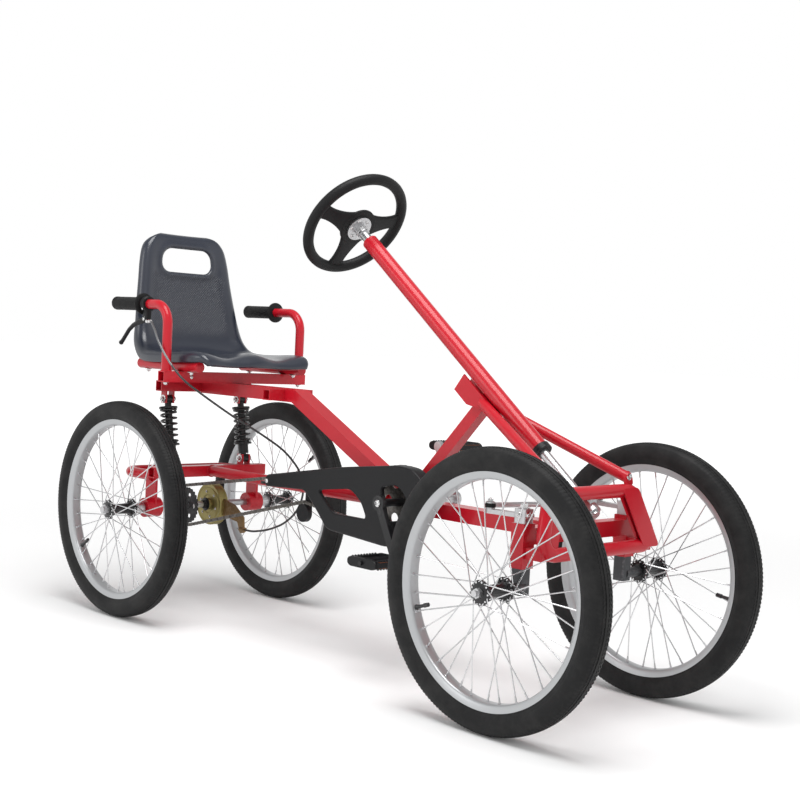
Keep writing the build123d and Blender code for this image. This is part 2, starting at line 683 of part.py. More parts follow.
# Knuckles: kingpin, spindle bracket, spindle with its nut, cap and steering arm
ARM_Z = HOUSING_TOP + THRUST_GAP + KNUCKLE_CAP_HEIGHT / 2
CAP_BOTTOM = HOUSING_TOP + THRUST_GAP
CAP_TOP = CAP_BOTTOM + KNUCKLE_CAP_HEIGHT
EYE_BOTTOM = ARM_Z + STEER_ARM_THICKNESS / 2 + SEAT_FIT
ROD_Z = EYE_BOTTOM + ROD_EYE_HEIGHT / 2
PITMAN_TIP = column_point(PITMAN_STATION, PITMAN_REACH)
for side, hand in ((1, "left"), (-1, "right")):
    pin_y = side * KINGPIN_TRACK / 2
    hub_inner = side * (FRONT_TRACK / 2 - HUB_HALF - THRUST_GAP)
    hub_outer = side * (FRONT_TRACK / 2 + HUB_HALF + THRUST_GAP)
    arm_end = Vector(KINGPIN_X - STEER_ARM_REACH, pin_y + side * STEER_ARM_OFFSET, ARM_Z)
    with BuildPart() as knuckle:
        round_bar((KINGPIN_X, pin_y, SPINDLE_BLOCK_BOTTOM), (KINGPIN_X, pin_y, CAP_TOP), KINGPIN_RADIUS)
        with BuildSketch(Plane.XY.offset(SPINDLE_BLOCK_BOTTOM)):
            with Locations((KINGPIN_X, pin_y)):
                RectangleRounded(KNUCKLE_BLOCK, KNUCKLE_BLOCK, KNUCKLE_CORNER)
        extrude(amount=HOUSING_BOTTOM - THRUST_GAP - SPINDLE_BLOCK_BOTTOM)
        with BuildSketch(Plane.XY.offset(CAP_BOTTOM)):
            with Locations((KINGPIN_X, pin_y)):
                RectangleRounded(KNUCKLE_BLOCK, KNUCKLE_BLOCK, KNUCKLE_CORNER)
        extrude(amount=KNUCKLE_CAP_HEIGHT)
        round_bar((FRONT_AXLE_X, pin_y, AXLE_Z), (FRONT_AXLE_X, hub_inner, AXLE_Z), SPINDLE_SHOULDER_RADIUS)
        spindle_end = hub_outer + side * (SPINDLE_NUT_LENGTH + SPINDLE_STUB)
        round_bar((FRONT_AXLE_X, pin_y, AXLE_Z), (FRONT_AXLE_X, spindle_end, AXLE_Z), SPINDLE_RADIUS)
        nut_plane = Plane(origin=(FRONT_AXLE_X, hub_outer, AXLE_Z), z_dir=(0, side, 0))
        with BuildSketch(nut_plane) as nut:
            RegularPolygon(SPINDLE_NUT_RADIUS, 6)
        extrude(nut.sketch, amount=SPINDLE_NUT_LENGTH)
        with BuildSketch(Plane.XY.offset(ARM_Z - STEER_ARM_THICKNESS / 2)) as lever:
            with Locations(((KINGPIN_X + arm_end.X) / 2, (pin_y + arm_end.Y) / 2)):
                turn = degrees(atan2(pin_y - arm_end.Y, KINGPIN_X - arm_end.X))
                span = hypot(KINGPIN_X - arm_end.X, pin_y - arm_end.Y)
                SlotCenterToCenter(span, STEER_ARM_WIDTH, rotation=turn)
        extrude(lever.sketch, amount=STEER_ARM_THICKNESS)
        stud_top = EYE_BOTTOM + ROD_EYE_HEIGHT + BALL_STUD_PROUD
        round_bar(arm_end, (arm_end.X, arm_end.Y, stud_top), BALL_STUD_RADIUS)
    save(knuckle, f"knuckle_{hand}")

    with BuildPart() as tie_rod:
        eye_foot = Vector(arm_end.X, arm_end.Y, EYE_BOTTOM)
        eye_top = Vector(arm_end.X, arm_end.Y, EYE_BOTTOM + ROD_EYE_HEIGHT)
        inner_end = Vector(PITMAN_TIP.X, side * (PITMAN_WIDTH / 2 + TIE_ROD_GAP + ROD_EYE_RADIUS), ROD_Z)
        round_bar(eye_foot, eye_top, ROD_EYE_RADIUS)
        round_bar((arm_end.X, arm_end.Y, ROD_Z), inner_end, TIE_ROD_RADIUS)
        low_end = inner_end - Vector(0, 0, ROD_EYE_HEIGHT / 2)
        round_bar(low_end, low_end + Vector(0, 0, ROD_EYE_HEIGHT), ROD_EYE_RADIUS)
        round_bar(eye_foot, eye_top, BALL_STUD_RADIUS + RUNNING_CLEARANCE, mode=Mode.SUBTRACT)
    save(tie_rod, f"tie_rod_{hand}")

# Crank set: axle, two arms half a turn apart, chainring
CRANK_PLACE = Vector(BRACKET_X, 0, BRACKET_Z)
CRANK_OUTER_FACE = CRANK_INNER_FACE + CRANK_THICKNESS


def crank_tip(side):
    """The pedal's place on the crank's tip: side is 1 on the left and -1 on the right."""
    angle = radians(CRANK_ANGLE)
    reach = Vector(cos(angle), 0, sin(angle)) * (-side * CRANK_LENGTH)
    return CRANK_PLACE + reach


def toothed_disc(teeth, bore, holes, hole_radius, hole_circle):
    """A sprocket plate about the origin, its axle along Y, its teeth kept inside the chain."""
    pitch_radius = CHAIN_PITCH / 2 / sin(pi / teeth)
    tip = pitch_radius - CHAIN_HALF_HEIGHT - TOOTH_CLEARANCE
    outline = []
    for tooth in range(teeth):
        for share, radius in ((0.0, tip - TOOTH_HEIGHT), (TOOTH_START_SHARE, tip), (TOOTH_END_SHARE, tip)):
            angle = 2 * pi * (tooth + share) / teeth
            outline.append((radius * cos(angle), radius * sin(angle)))
    with BuildPart() as disc:
        with BuildSketch(Plane.XZ.offset(-PLATE_THICKNESS / 2)):
            with BuildLine():
                Polyline(*outline, close=True)
            make_face()
            Circle(bore, mode=Mode.SUBTRACT)
            with PolarLocations(hole_circle, holes):
                Circle(hole_radius, mode=Mode.SUBTRACT)
        extrude(amount=PLATE_THICKNESS)
    return disc.part


with BuildPart() as crank_arms:
    axle_half = CRANK_OUTER_FACE
    with BuildSketch(Plane.XZ.offset(-axle_half)):
        with Locations((BRACKET_X, BRACKET_Z)):
            Circle(CRANK_AXLE_RADIUS)
    extrude(amount=2 * axle_half)
    for side in (-1, 1):
        tip = crank_tip(side)
        face = max(side * CRANK_INNER_FACE, side * CRANK_OUTER_FACE)
        for centre, radius in ((CRANK_PLACE, CRANK_BOSS_RADIUS), (tip, CRANK_TIP_RADIUS)):
            with BuildSketch(Plane.XZ.offset(-face)) as boss:
                with Locations((centre.X, centre.Z)):
                    Circle(radius)
            extrude(boss.sketch, amount=CRANK_THICKNESS)
        middle = side * (CRANK_INNER_FACE + CRANK_OUTER_FACE) / 2
        start = Vector(CRANK_PLACE.X, middle, CRANK_PLACE.Z)
        end = Vector(tip.X, middle, tip.Z)
        box_bar(start, end, CRANK_THICKNESS, CRANK_ARM_WIDTH)
        pin_end = side * (CRANK_OUTER_FACE + PEDAL_GAP + PEDAL_WIDTH + PEDAL_GAP)
        round_bar((tip.X, middle, tip.Z), (tip.X, pin_end, tip.Z), PEDAL_AXLE_RADIUS)
    spider_y = CHAIN_LINE + PLATE_THICKNESS / 2 + SEAT_FIT
    round_bar(
        (BRACKET_X, spider_y, BRACKET_Z), (BRACKET_X, spider_y + SPIDER_THICKNESS, BRACKET_Z), SPIDER_RADIUS
    )
save(crank_arms, "crank_arms")

with BuildPart() as chainring:
    with Locations((BRACKET_X, CHAIN_LINE, BRACKET_Z)):
        bore = CRANK_AXLE_RADIUS + SEAT_FIT
        add(toothed_disc(CHAINRING_TEETH, bore, CHAINRING_HOLES, CHAINRING_HOLE_RADIUS, CHAINRING_HOLE_CIRCLE))
save(chainring, "chainring")

for side, hand in ((1, "left"), (-1, "right")):
    tip = crank_tip(side)
    inner = side * (CRANK_OUTER_FACE + PEDAL_GAP)
    outer = side * (CRANK_OUTER_FACE + PEDAL_GAP + PEDAL_WIDTH)
    with BuildPart() as pedal:
        low_y, high_y = sorted((inner, outer))
        half_x, half_z = PEDAL_LENGTH / 2, PEDAL_THICKNESS / 2
        with BuildSketch(Plane.XY.offset(tip.Z - half_z)):
            with Locations((tip.X, (low_y + high_y) / 2)):
                RectangleRounded(PEDAL_LENGTH, PEDAL_WIDTH, PEDAL_CORNER)
                for step in (-1, 1):
                    with Locations((step * PEDAL_WINDOW_OFFSET, 0)):
                        RectangleRounded(
                            PEDAL_WINDOW_LENGTH,
                            PEDAL_WIDTH - 2 * PEDAL_RAIL,
                            PEDAL_WINDOW_CORNER,
                            mode=Mode.SUBTRACT,
                        )
        extrude(amount=PEDAL_THICKNESS)
        round_bar(
            (tip.X, inner, tip.Z), (tip.X, outer, tip.Z), PEDAL_AXLE_RADIUS + RUNNING_CLEARANCE, Mode.SUBTRACT
        )
    save(pedal, f"pedal_{hand}")

# Chain: sprocket, guide roller and chainring, joined by straight runs
SPROCKET_PITCH_RADIUS = CHAIN_PITCH / 2 / sin(pi / SPROCKET_TEETH)
CHAINRING_PITCH_RADIUS = CHAIN_PITCH / 2 / sin(pi / CHAINRING_TEETH)
ROLLER_LINE_RADIUS = ROLLER_RADIUS + CHAIN_HALF_HEIGHT + SEAT_FIT


def tangent_normal(start, end, share, sign):
    """The unit normal whose component along start to end is share of the distance between them."""
    span = hypot(end[0] - start[0], end[1] - start[1])
    along = ((end[0] - start[0]) / span, (end[1] - start[1]) / span)
    part = share / span
    rest = sign * sqrt(1 - part * part)
    return (along[0] * part - along[1] * rest, along[1] * part + along[0] * rest)


def chain_route():
    """The pitch line's corners of motion: arcs as (centre, radius, first angle, last angle)."""
    rear, roller, front = (REAR_AXLE_X, AXLE_Z), (ROLLER_X, ROLLER_Z), (BRACKET_X, BRACKET_Z)
    upper = tangent_normal(front, rear, CHAINRING_PITCH_RADIUS - SPROCKET_PITCH_RADIUS, -1)
    lower = tangent_normal(rear, roller, SPROCKET_PITCH_RADIUS + ROLLER_LINE_RADIUS, -1)
    rising = tangent_normal(roller, front, ROLLER_LINE_RADIUS + CHAINRING_PITCH_RADIUS, 1)
    angle = [atan2(normal[1], normal[0]) for normal in (upper, lower, rising)]
    over_roller = atan2(-lower[1], -lower[0])
    under_ring = atan2(-rising[1], -rising[0])
    return [
        (rear, SPROCKET_PITCH_RADIUS, angle[0] % (2 * pi), angle[1] % (2 * pi)),
        (roller, ROLLER_LINE_RADIUS, over_roller, angle[2]),
        (front, CHAINRING_PITCH_RADIUS, under_ring, angle[0]),
    ]


def chain_stations():
    """Evenly spaced places along the pitch line, as (x, z, normal x, normal z), two for each link."""
    arcs = chain_route()
    runs = []
    for number, (centre, radius, first, last) in enumerate(arcs):
        runs.append(("arc", centre, radius, first, last, radius * abs(last - first)))
        after = arcs[(number + 1) % len(arcs)]
        a = (centre[0] + radius * cos(last), centre[1] + radius * sin(last))
        b = (after[0][0] + after[1] * cos(after[2]), after[0][1] + after[1] * sin(after[2]))
        runs.append(("run", a, b, 0, 0, hypot(b[0] - a[0], b[1] - a[1])))
    total = sum(run[5] for run in runs)
    count = 2 * round(total / CHAIN_PITCH)
    places = []
    for number in range(count):
        left = total * number / count
        for kind, p, q, first, last, length in runs:
            if left <= length:
                break
            left -= length
        share = left / length
        if kind == "arc":
            angle = first + (last - first) * share
            turn = 1 if last > first else -1
            places.append((p[0] + q * cos(angle), p[1] + q * sin(angle), turn * cos(angle), turn * sin(angle)))
        else:
            places.append(
                (
                    p[0] + (q[0] - p[0]) * share,
                    p[1] + (q[1] - p[1]) * share,
                    (q[1] - p[1]) / length,
                    -(q[0] - p[0]) / length,
                )
            )
    return places


with BuildPart() as chain:
    stations = chain_stations()
    sides = []
    for sign in (1, -1):
        edge = []
        for number, (x, z, nx, nz) in enumerate(stations):
            reach = sign * (CHAIN_WAIST if number % 2 else CHAIN_HALF_HEIGHT)
            edge.append((x + nx * reach, z + nz * reach))
        sides.append(edge)
    with BuildSketch(Plane.XZ.offset(-CHAIN_LINE - CHAIN_WIDTH / 2)):
        with BuildLine():
            Polyline(*sides[0], close=True)
        make_face()
        with BuildLine():
            Polyline(*sides[1], close=True)
        make_face(mode=Mode.SUBTRACT)
    extrude(amount=CHAIN_WIDTH)
save(chain, "chain")

with BuildPart() as guide_roller:
    with BuildSketch(Plane.XZ.offset(-CHAIN_LINE - ROLLER_WIDTH / 2)):
        with Locations((ROLLER_X, ROLLER_Z)):
            Circle(ROLLER_RADIUS)
    extrude(amount=ROLLER_WIDTH)
    hanger_y = CHAIN_LINE + ROLLER_WIDTH / 2 + ROLLER_HANGER_GAP
    hanger_end = hanger_y + ROLLER_HANGER_THICKNESS
    rear_x, front_x = ROLLER_X - ROLLER_HANGER_HALF, ROLLER_X + ROLLER_HANGER_HALF
    arm_half = ROLLER_HANGER_THICKNESS
    round_bar((ROLLER_X, CHAIN_LINE, ROLLER_Z), (ROLLER_X, hanger_end, ROLLER_Z), ROLLER_PIN_RADIUS)
    block((rear_x, hanger_y, ROLLER_Z - ROLLER_HANGER_FOOT), (front_x, hanger_end, SWING_Z))
    lap_y = -SWING_RADIUS + ROLLER_HANGER_LAP
    block((rear_x, hanger_y, SWING_Z - arm_half), (front_x, lap_y, SWING_Z + arm_half))
    round_bar((REAR_AXLE_X, 0, SWING_Z), (PIVOT_X, 0, SWING_Z), SWING_RADIUS + SEAT_FIT, mode=Mode.SUBTRACT)
save(guide_roller, "guide_roller")

# Chain guard: a plate with an opening, turned in at its edges, on two stays
GUARD_OUTLINE = [
    (-268, 342),
    (-264, 374),
    (-120, 391),
    (200, 436),
    (252, 432),
    (286, 396),
    (280, 330),
    (230, 272),
    (160, 252),
    (-84, 296),
    (-112, 316),
    (-100, 322),
    (-150, 350),
]
GUARD_OPENINGS = [
    [(-90, 345), (30, 352), (44, 330), (30, 306), (-60, 316)],
    [(100, 400), (190, 414), (226, 380), (190, 330), (110, 330)],
]
with BuildPart() as chain_guard:
    with BuildSketch(Plane.XZ.offset(-GUARD_OUTER)) as plate:
        with BuildLine():
            FilletPolyline(*GUARD_OUTLINE, radius=GUARD_CORNER, close=True)
        make_face()
    extrude(plate.sketch, amount=GUARD_OUTER - GUARD_INNER)
    with BuildSketch(Plane.XZ.offset(-GUARD_OUTER - GUARD_WALL)) as hollow:
        with BuildLine():
            FilletPolyline(*GUARD_OUTLINE, radius=GUARD_CORNER, close=True)
        make_face()
        offset(amount=-GUARD_WALL, kind=Kind.INTERSECTION)
    extrude(hollow.sketch, amount=GUARD_OUTER - GUARD_INNER, mode=Mode.SUBTRACT)
    for opening in GUARD_OPENINGS:
        with BuildSketch(Plane.XZ.offset(-GUARD_OUTER)) as window:
            with BuildLine():
                FilletPolyline(*opening, radius=GUARD_OPENING_CORNER, close=True)
            make_face()
        extrude(window.sketch, amount=GUARD_WALL * 2, both=True, mode=Mode.SUBTRACT)
save(chain_guard, "chain_guard")

GUARD_PLATE_Y = GUARD_OUTER + GUARD_WALL
with BuildPart() as guard_stays:
    rear_foot = SWING_Z + REAR_STAY_LIFT
    low = (REAR_STAY_X - REAR_STAY_HALF, GUARD_PLATE_Y, rear_foot)
    high = (REAR_STAY_X + REAR_STAY_HALF, 0, rear_foot + REAR_STAY_THICKNESS)
    block(low, high)
    low = (FRONT_STAY_X - FRONT_STAY_HALF, GUARD_PLATE_Y, FRONT_STAY_Z)
    high = (FRONT_STAY_X + FRONT_STAY_HALF, -BEAM_WIDTH / 2, FRONT_STAY_Z + FRONT_STAY_THICKNESS)
    block(low, high)
    round_bar((REAR_AXLE_X, 0, SWING_Z), (PIVOT_X, 0, SWING_Z), SWING_RADIUS, mode=Mode.SUBTRACT)
    add(chain_guard.part, mode=Mode.SUBTRACT)
    stays = [solid for solid in guard_stays.part.solids() if solid.bounding_box().min.Y < GUARD_PLATE_Y + 1]
with BuildPart() as kept_stays:
    add(stays)
save(kept_stays, "guard_stays")

# Rear axle: shaft with collars and nuts, sprocket and brake drum turn with both rear wheels
REAR_HUB_OUTER = REAR_TRACK / 2 + HUB_HALF
REAR_HUB_INNER = REAR_TRACK / 2 - HUB_HALF
HOLDER_OUTER = BEARING_HALF_TRACK + HOLDER_LENGTH / 2


def on_axle(y):
    """A point of the rear axle's line."""
    return Vector(REAR_AXLE_X, y, AXLE_Z)


with BuildPart() as rear_axle:
    end = REAR_HUB_OUTER + SPINDLE_NUT_LENGTH + SPINDLE_STUB
    round_bar(on_axle(-end), on_axle(end), AXLE_SHAFT_RADIUS)
    for side in (-1, 1):
        collar_start = on_axle(side * (HOLDER_OUTER + COLLAR_GAP))
        round_bar(collar_start, on_axle(side * (REAR_HUB_INNER - SEAT_FIT)), COLLAR_RADIUS)
        with BuildSketch(Plane(origin=on_axle(side * (REAR_HUB_OUTER + SEAT_FIT)), z_dir=(0, side, 0))) as nut:
            RegularPolygon(AXLE_NUT_RADIUS, 6)
        extrude(nut.sketch, amount=SPINDLE_NUT_LENGTH)
    sprocket_face = CHAIN_LINE + PLATE_THICKNESS / 2 + SEAT_FIT
    round_bar(on_axle(sprocket_face), on_axle(sprocket_face + SPROCKET_BOSS_LENGTH), SPROCKET_BOSS_RADIUS)
save(rear_axle, "rear_axle")

with BuildPart() as sprocket:
    with Locations(on_axle(CHAIN_LINE)):
        bore = AXLE_SHAFT_RADIUS + SEAT_FIT
        add(toothed_disc(SPROCKET_TEETH, bore, SPROCKET_HOLES, SPROCKET_HOLE_RADIUS, SPROCKET_HOLE_CIRCLE))
save(sprocket, "sprocket")

BRAKE_FACE = BRAKE_Y - BRAKE_WIDTH / 2
BRAKE_BACK = BRAKE_Y + BRAKE_WIDTH / 2
with BuildPart() as brake_drum:
    drum_face = BRAKE_FACE + BRAKE_SHEET + DRUM_GAP
    round_bar(on_axle(drum_face), on_axle(BRAKE_BACK), DRUM_RADIUS)
    round_bar(on_axle(drum_face), on_axle(BRAKE_BACK), AXLE_SHAFT_RADIUS + SEAT_FIT, mode=Mode.SUBTRACT)
save(brake_drum, "brake_drum")

with BuildPart() as brake_cover:
    round_bar(on_axle(BRAKE_FACE), on_axle(BRAKE_BACK), BRAKE_RADIUS)
    inside = on_axle(BRAKE_FACE + BRAKE_SHEET)
    round_bar(inside, on_axle(BRAKE_BACK), BRAKE_RADIUS - BRAKE_SHEET, mode=Mode.SUBTRACT)
    boss_start, boss_end = on_axle(BRAKE_FACE - BRAKE_BOSS_LENGTH), on_axle(BRAKE_FACE + BRAKE_SHEET)
    round_bar(boss_start, boss_end, BRAKE_BOSS_RADIUS)
    with BuildSketch(Plane.XZ.offset(-BRAKE_FACE - BRAKE_SHEET)) as windows:
        with Locations((REAR_AXLE_X, AXLE_Z)):
            with PolarLocations(BRAKE_WINDOW_CIRCLE, BRAKE_WINDOWS, start_angle=30):
                SlotCenterToCenter(BRAKE_WINDOW_LENGTH, BRAKE_WINDOW_WIDTH, rotation=90)
    extrude(windows.sketch, amount=BRAKE_SHEET, mode=Mode.SUBTRACT)
    anchor_top = CROSS_Z - CROSS_SIZE / 2 - SEAT_FIT
    anchor_y = BRAKE_Y - 2 * BRAKE_ANCHOR_THICKNESS
    low = (CROSS_X - BRAKE_ANCHOR_HALF, anchor_y, AXLE_Z + BRAKE_RADIUS - BRAKE_ANCHOR_LAP)
    high = (CROSS_X + BRAKE_ANCHOR_HALF, anchor_y + BRAKE_ANCHOR_THICKNESS, anchor_top)
    block(low, high)
    round_bar(boss_start, boss_end, AXLE_SHAFT_RADIUS + RUNNING_CLEARANCE, mode=Mode.SUBTRACT)
save(brake_cover, "brake_cover")

BRAKE_ARM_OUTLINE = [(-556, 274), (-500, 262), (-462, 236), (-458, 198), (-474, 196), (-486, 222), (-552, 232)]
CABLE_STOP = Vector(-466, BRAKE_Y, 206)
with BuildPart() as brake_arm:
    with BuildSketch(Plane.XZ.offset(-BRAKE_Y - BRAKE_ARM_THICKNESS / 2)) as plate:
        with BuildLine():
            FilletPolyline(*BRAKE_ARM_OUTLINE, radius=BRAKE_ARM_CORNER, close=True)
        make_face()
    extrude(plate.sketch, amount=BRAKE_ARM_THICKNESS)
    stop_half = Vector(CABLE_STOP_HALF, 0, 0)
    round_bar(CABLE_STOP - stop_half, CABLE_STOP + stop_half, CABLE_STOP_RADIUS)
    clear_start, clear_end = on_axle(BRAKE_FACE - BRAKE_ARM_CLEAR), on_axle(BRAKE_BACK + BRAKE_ARM_CLEAR)
    round_bar(clear_start, clear_end, BRAKE_RADIUS + SEAT_FIT, mode=Mode.SUBTRACT)
save(brake_arm, "brake_arm")


def open_tube(x, z, half, size):
    """A square tube along Y, open at both ends, in the active part."""
    block((x - size / 2, -half, z - size / 2), (x + size / 2, half, z + size / 2))
    inner = size / 2 - TUBE_WALL
    for side in (-1, 1):
        low_y, high_y = sorted((side * half, side * (half - TUBE_POCKET)))
        block((x - inner, low_y, z - inner), (x + inner, high_y, z + inner), mode=Mode.SUBTRACT)


def shock_ears(x, y, z, base_z):
    """Two ears that hold a shock's eye, from the tube's face at base_z past the eye."""
    past = z + SHOCK_EYE_RADIUS * (1 if z > base_z else -1)
    for side in (-1, 1):
        inner = side * (SHOCK_EYE_WIDTH / 2 + SEAT_FIT)
        low_y, high_y = sorted((y + inner, y + inner + side * SHOCK_EAR))
        block((x - SHOCK_EYE_RADIUS, low_y, min(past, base_z)), (x + SHOCK_EYE_RADIUS, high_y, max(past, base_z)))


# Rear axle carrier: cross tube, hangers with bearing holders, rear loop and swing arm
CROSS_TOP = CROSS_Z + CROSS_SIZE / 2
with BuildPart() as rear_cross_tube:
    open_tube(CROSS_X, CROSS_Z, CROSS_HALF, CROSS_SIZE)
    for side in (-1, 1):
        shock_ears(SHOCK_BOTTOM_X, side * SHOCK_HALF, SHOCK_BOTTOM_Z, CROSS_TOP)

with BuildPart() as rear_loop:
    front = CROSS_X - CROSS_SIZE / 2
    loop_points = [
        (front, BEARING_HALF_TRACK, REAR_LOOP_Z),
        (REAR_LOOP_X, BEARING_HALF_TRACK, REAR_LOOP_Z),
        (REAR_LOOP_X, -BEARING_HALF_TRACK, REAR_LOOP_Z),
        (front, -BEARING_HALF_TRACK, REAR_LOOP_Z),
    ]
    swept_tube(loop_points, REAR_LOOP_TUBE, REAR_LOOP_CORNER)
save(rear_loop, "rear_loop")

with BuildPart() as bearing_holders:
    for side in (-1, 1):
        middle = side * BEARING_HALF_TRACK
        inner, outer = on_axle(middle - HOLDER_LENGTH / 2), on_axle(middle + HOLDER_LENGTH / 2)
        low = (REAR_AXLE_X - HANGER_WIDTH / 2, middle - HANGER_THICKNESS / 2, AXLE_Z)
        high = (REAR_AXLE_X + HANGER_WIDTH / 2, middle + HANGER_THICKNESS / 2, CROSS_Z - CROSS_SIZE / 2)
        block(low, high)
        round_bar(inner, outer, HOLDER_RADIUS)
        round_bar(inner, outer, AXLE_SHAFT_RADIUS + RUNNING_CLEARANCE, mode=Mode.SUBTRACT)
    add(rear_loop.part, mode=Mode.SUBTRACT)
with BuildPart() as rear_carrier:
    add(rear_cross_tube.part)
    add(bearing_holders.part)
save(rear_carrier, "rear_carrier")

with BuildPart() as swing_arm:
    round_bar((CROSS_X + CROSS_SIZE / 2, 0, SWING_Z), (PIVOT_X, 0, SWING_Z), SWING_RADIUS)
    half = BEAM_WIDTH / 2 - SEAT_FIT
    round_bar((PIVOT_X, -half, SWING_Z), (PIVOT_X, half, SWING_Z), PIVOT_RADIUS)
save(swing_arm, "swing_arm")

with BuildPart() as pivot_plates:
    for side in (-1, 1):
        low_y, high_y = sorted((side * BEAM_WIDTH / 2, side * (BEAM_WIDTH / 2 + PIVOT_PLATE)))
        low = (PIVOT_X - PIVOT_PLATE_HALF, low_y, SWING_Z - PIVOT_PLATE_FOOT)
        high = (PIVOT_X + PIVOT_PLATE_HALF, high_y, SWING_Z + PIVOT_PLATE_HEAD)
        block(low, high)
        bolt_start = (PIVOT_X, side * BEAM_WIDTH / 2, SWING_Z)
        bolt_end = (PIVOT_X, side * (BEAM_WIDTH / 2 + PIVOT_PLATE + PIVOT_BOLT_HEAD), SWING_Z)
        round_bar(bolt_start, bolt_end, PIVOT_BOLT_RADIUS)
save(pivot_plates, "pivot_plates")

# Seat carrier: cross tubes on the beam, rails under the shell
BEAM_TOP = BEAM_UPPER_Z + BEAM_HEIGHT / 2
ARM_CROSS_Z = BEAM_TOP + SEAT_TUBE / 2
ARM_CROSS_TOP = BEAM_TOP + SEAT_TUBE
RAIL_Z = ARM_CROSS_TOP + RAIL_RADIUS
# Posts that the shell is bolted to, as x and the height just under the pan
SEAT_POSTS = [(-625, 625.0), (-450, 624.8)]
with BuildPart() as upper_cross_tube:
    open_tube(BEAM_REAR_X - SEAT_TUBE / 2, BEAM_UPPER_Z, UPPER_CROSS_HALF, SEAT_TUBE)
    base = BEAM_UPPER_Z - SEAT_TUBE / 2
    for side in (-1, 1):
        shock_ears(SHOCK_TOP_X, side * SHOCK_HALF, SHOCK_TOP_Z, base)

with BuildPart() as front_cross_tube:
    open_tube(FRONT_CROSS_X, BEAM_UPPER_Z, FRONT_CROSS_HALF, SEAT_TUBE)
    add(main_beam.part, mode=Mode.SUBTRACT)

with BuildPart() as arm_cross_tube:
    open_tube(ARM_CROSS_X, ARM_CROSS_Z, ARM_CROSS_HALF, SEAT_TUBE)
with BuildPart() as seat_cross_tubes:
    add(upper_cross_tube.part)
    add(front_cross_tube.part)
    add(arm_cross_tube.part)
save(seat_cross_tubes, "seat_cross_tubes")

with BuildPart() as seat_rails:
    for side in (-1, 1):
        y = side * RAIL_HALF_TRACK
        round_bar((RAIL_REAR_X, y, RAIL_Z), (RAIL_FRONT_X, y, RAIL_Z), RAIL_RADIUS)
        for post_x, post_top in SEAT_POSTS:
            round_bar((post_x, y, RAIL_Z), (post_x, y, post_top), SEAT_POST_RADIUS)
save(seat_rails, "seat_rails")

# Arms, grips and the brake lever on the right
for side, hand in ((1, "left"), (-1, "right")):
    y = side * ARM_HALF_TRACK
    with BuildPart() as arm:
        swept_tube([(ARM_CROSS_X, y, ARM_CROSS_TOP), (ARM_CROSS_X, y, ARM_TOP_Z), (ARM_REAR_X, y, ARM_TOP_Z)],
                   ARM_RADIUS, ARM_BEND)
    save(arm, f"armrest_{hand}")
    with BuildPart() as grip:
        round_bar((GRIP_FRONT_X, y, ARM_TOP_Z), (GRIP_REAR_X, y, ARM_TOP_Z), GRIP_RADIUS)
        collar_rear = GRIP_FRONT_X - GRIP_COLLAR
        round_bar((GRIP_FRONT_X, y, ARM_TOP_Z), (collar_rear, y, ARM_TOP_Z), GRIP_COLLAR_RADIUS)
        bore_end = ARM_REAR_X - SEAT_FIT
        bore = ARM_RADIUS + RUNNING_CLEARANCE
        round_bar((GRIP_FRONT_X, y, ARM_TOP_Z), (bore_end, y, ARM_TOP_Z), bore, mode=Mode.SUBTRACT)
    save(grip, f"grip_{hand}")

LEVER_Y = -ARM_HALF_TRACK
LEVER_BLADE = [(-566, 716), (-590, 704), (-612, 698), (-640, 684), (-668, 656), (-680, 648)]
LEVER_BLADE_LOWER = [(-674, 640), (-660, 648), (-634, 674), (-612, 686), (-584, 690), (-562, 700)]
CABLE_START = Vector(LEVER_CABLE_X, LEVER_Y - LEVER_CABLE_OFFSET, LEVER_CABLE_Z)
with BuildPart() as brake_lever:
    clamp_rear = LEVER_CLAMP_X - LEVER_CLAMP_WIDTH / 2
    clamp_front = LEVER_CLAMP_X + LEVER_CLAMP_WIDTH / 2
    round_bar((clamp_rear, LEVER_Y, ARM_TOP_Z), (clamp_front, LEVER_Y, ARM_TOP_Z), LEVER_CLAMP_RADIUS)
    with BuildSketch(Plane.XZ.offset(-LEVER_Y - LEVER_THICKNESS / 2)) as blade:
        with BuildLine():
            Polyline(*LEVER_BLADE, *LEVER_BLADE_LOWER, close=True)
        make_face()
    extrude(blade.sketch, amount=LEVER_THICKNESS)
    low = (clamp_rear - LEVER_BODY_REAR, LEVER_Y - LEVER_BODY_HALF, LEVER_BODY_BOTTOM)
    high = (clamp_front + LEVER_BODY_FRONT, LEVER_Y + LEVER_BODY_HALF, ARM_TOP_Z - LEVER_BODY_DROP)
    block(low, high)
    bore = ARM_RADIUS + RUNNING_CLEARANCE
    bore_start = (clamp_rear - LEVER_CLEAR, LEVER_Y, ARM_TOP_Z)
    round_bar(bore_start, (clamp_front, LEVER_Y, ARM_TOP_Z), bore, mode=Mode.SUBTRACT)
save(brake_lever, "brake_lever")

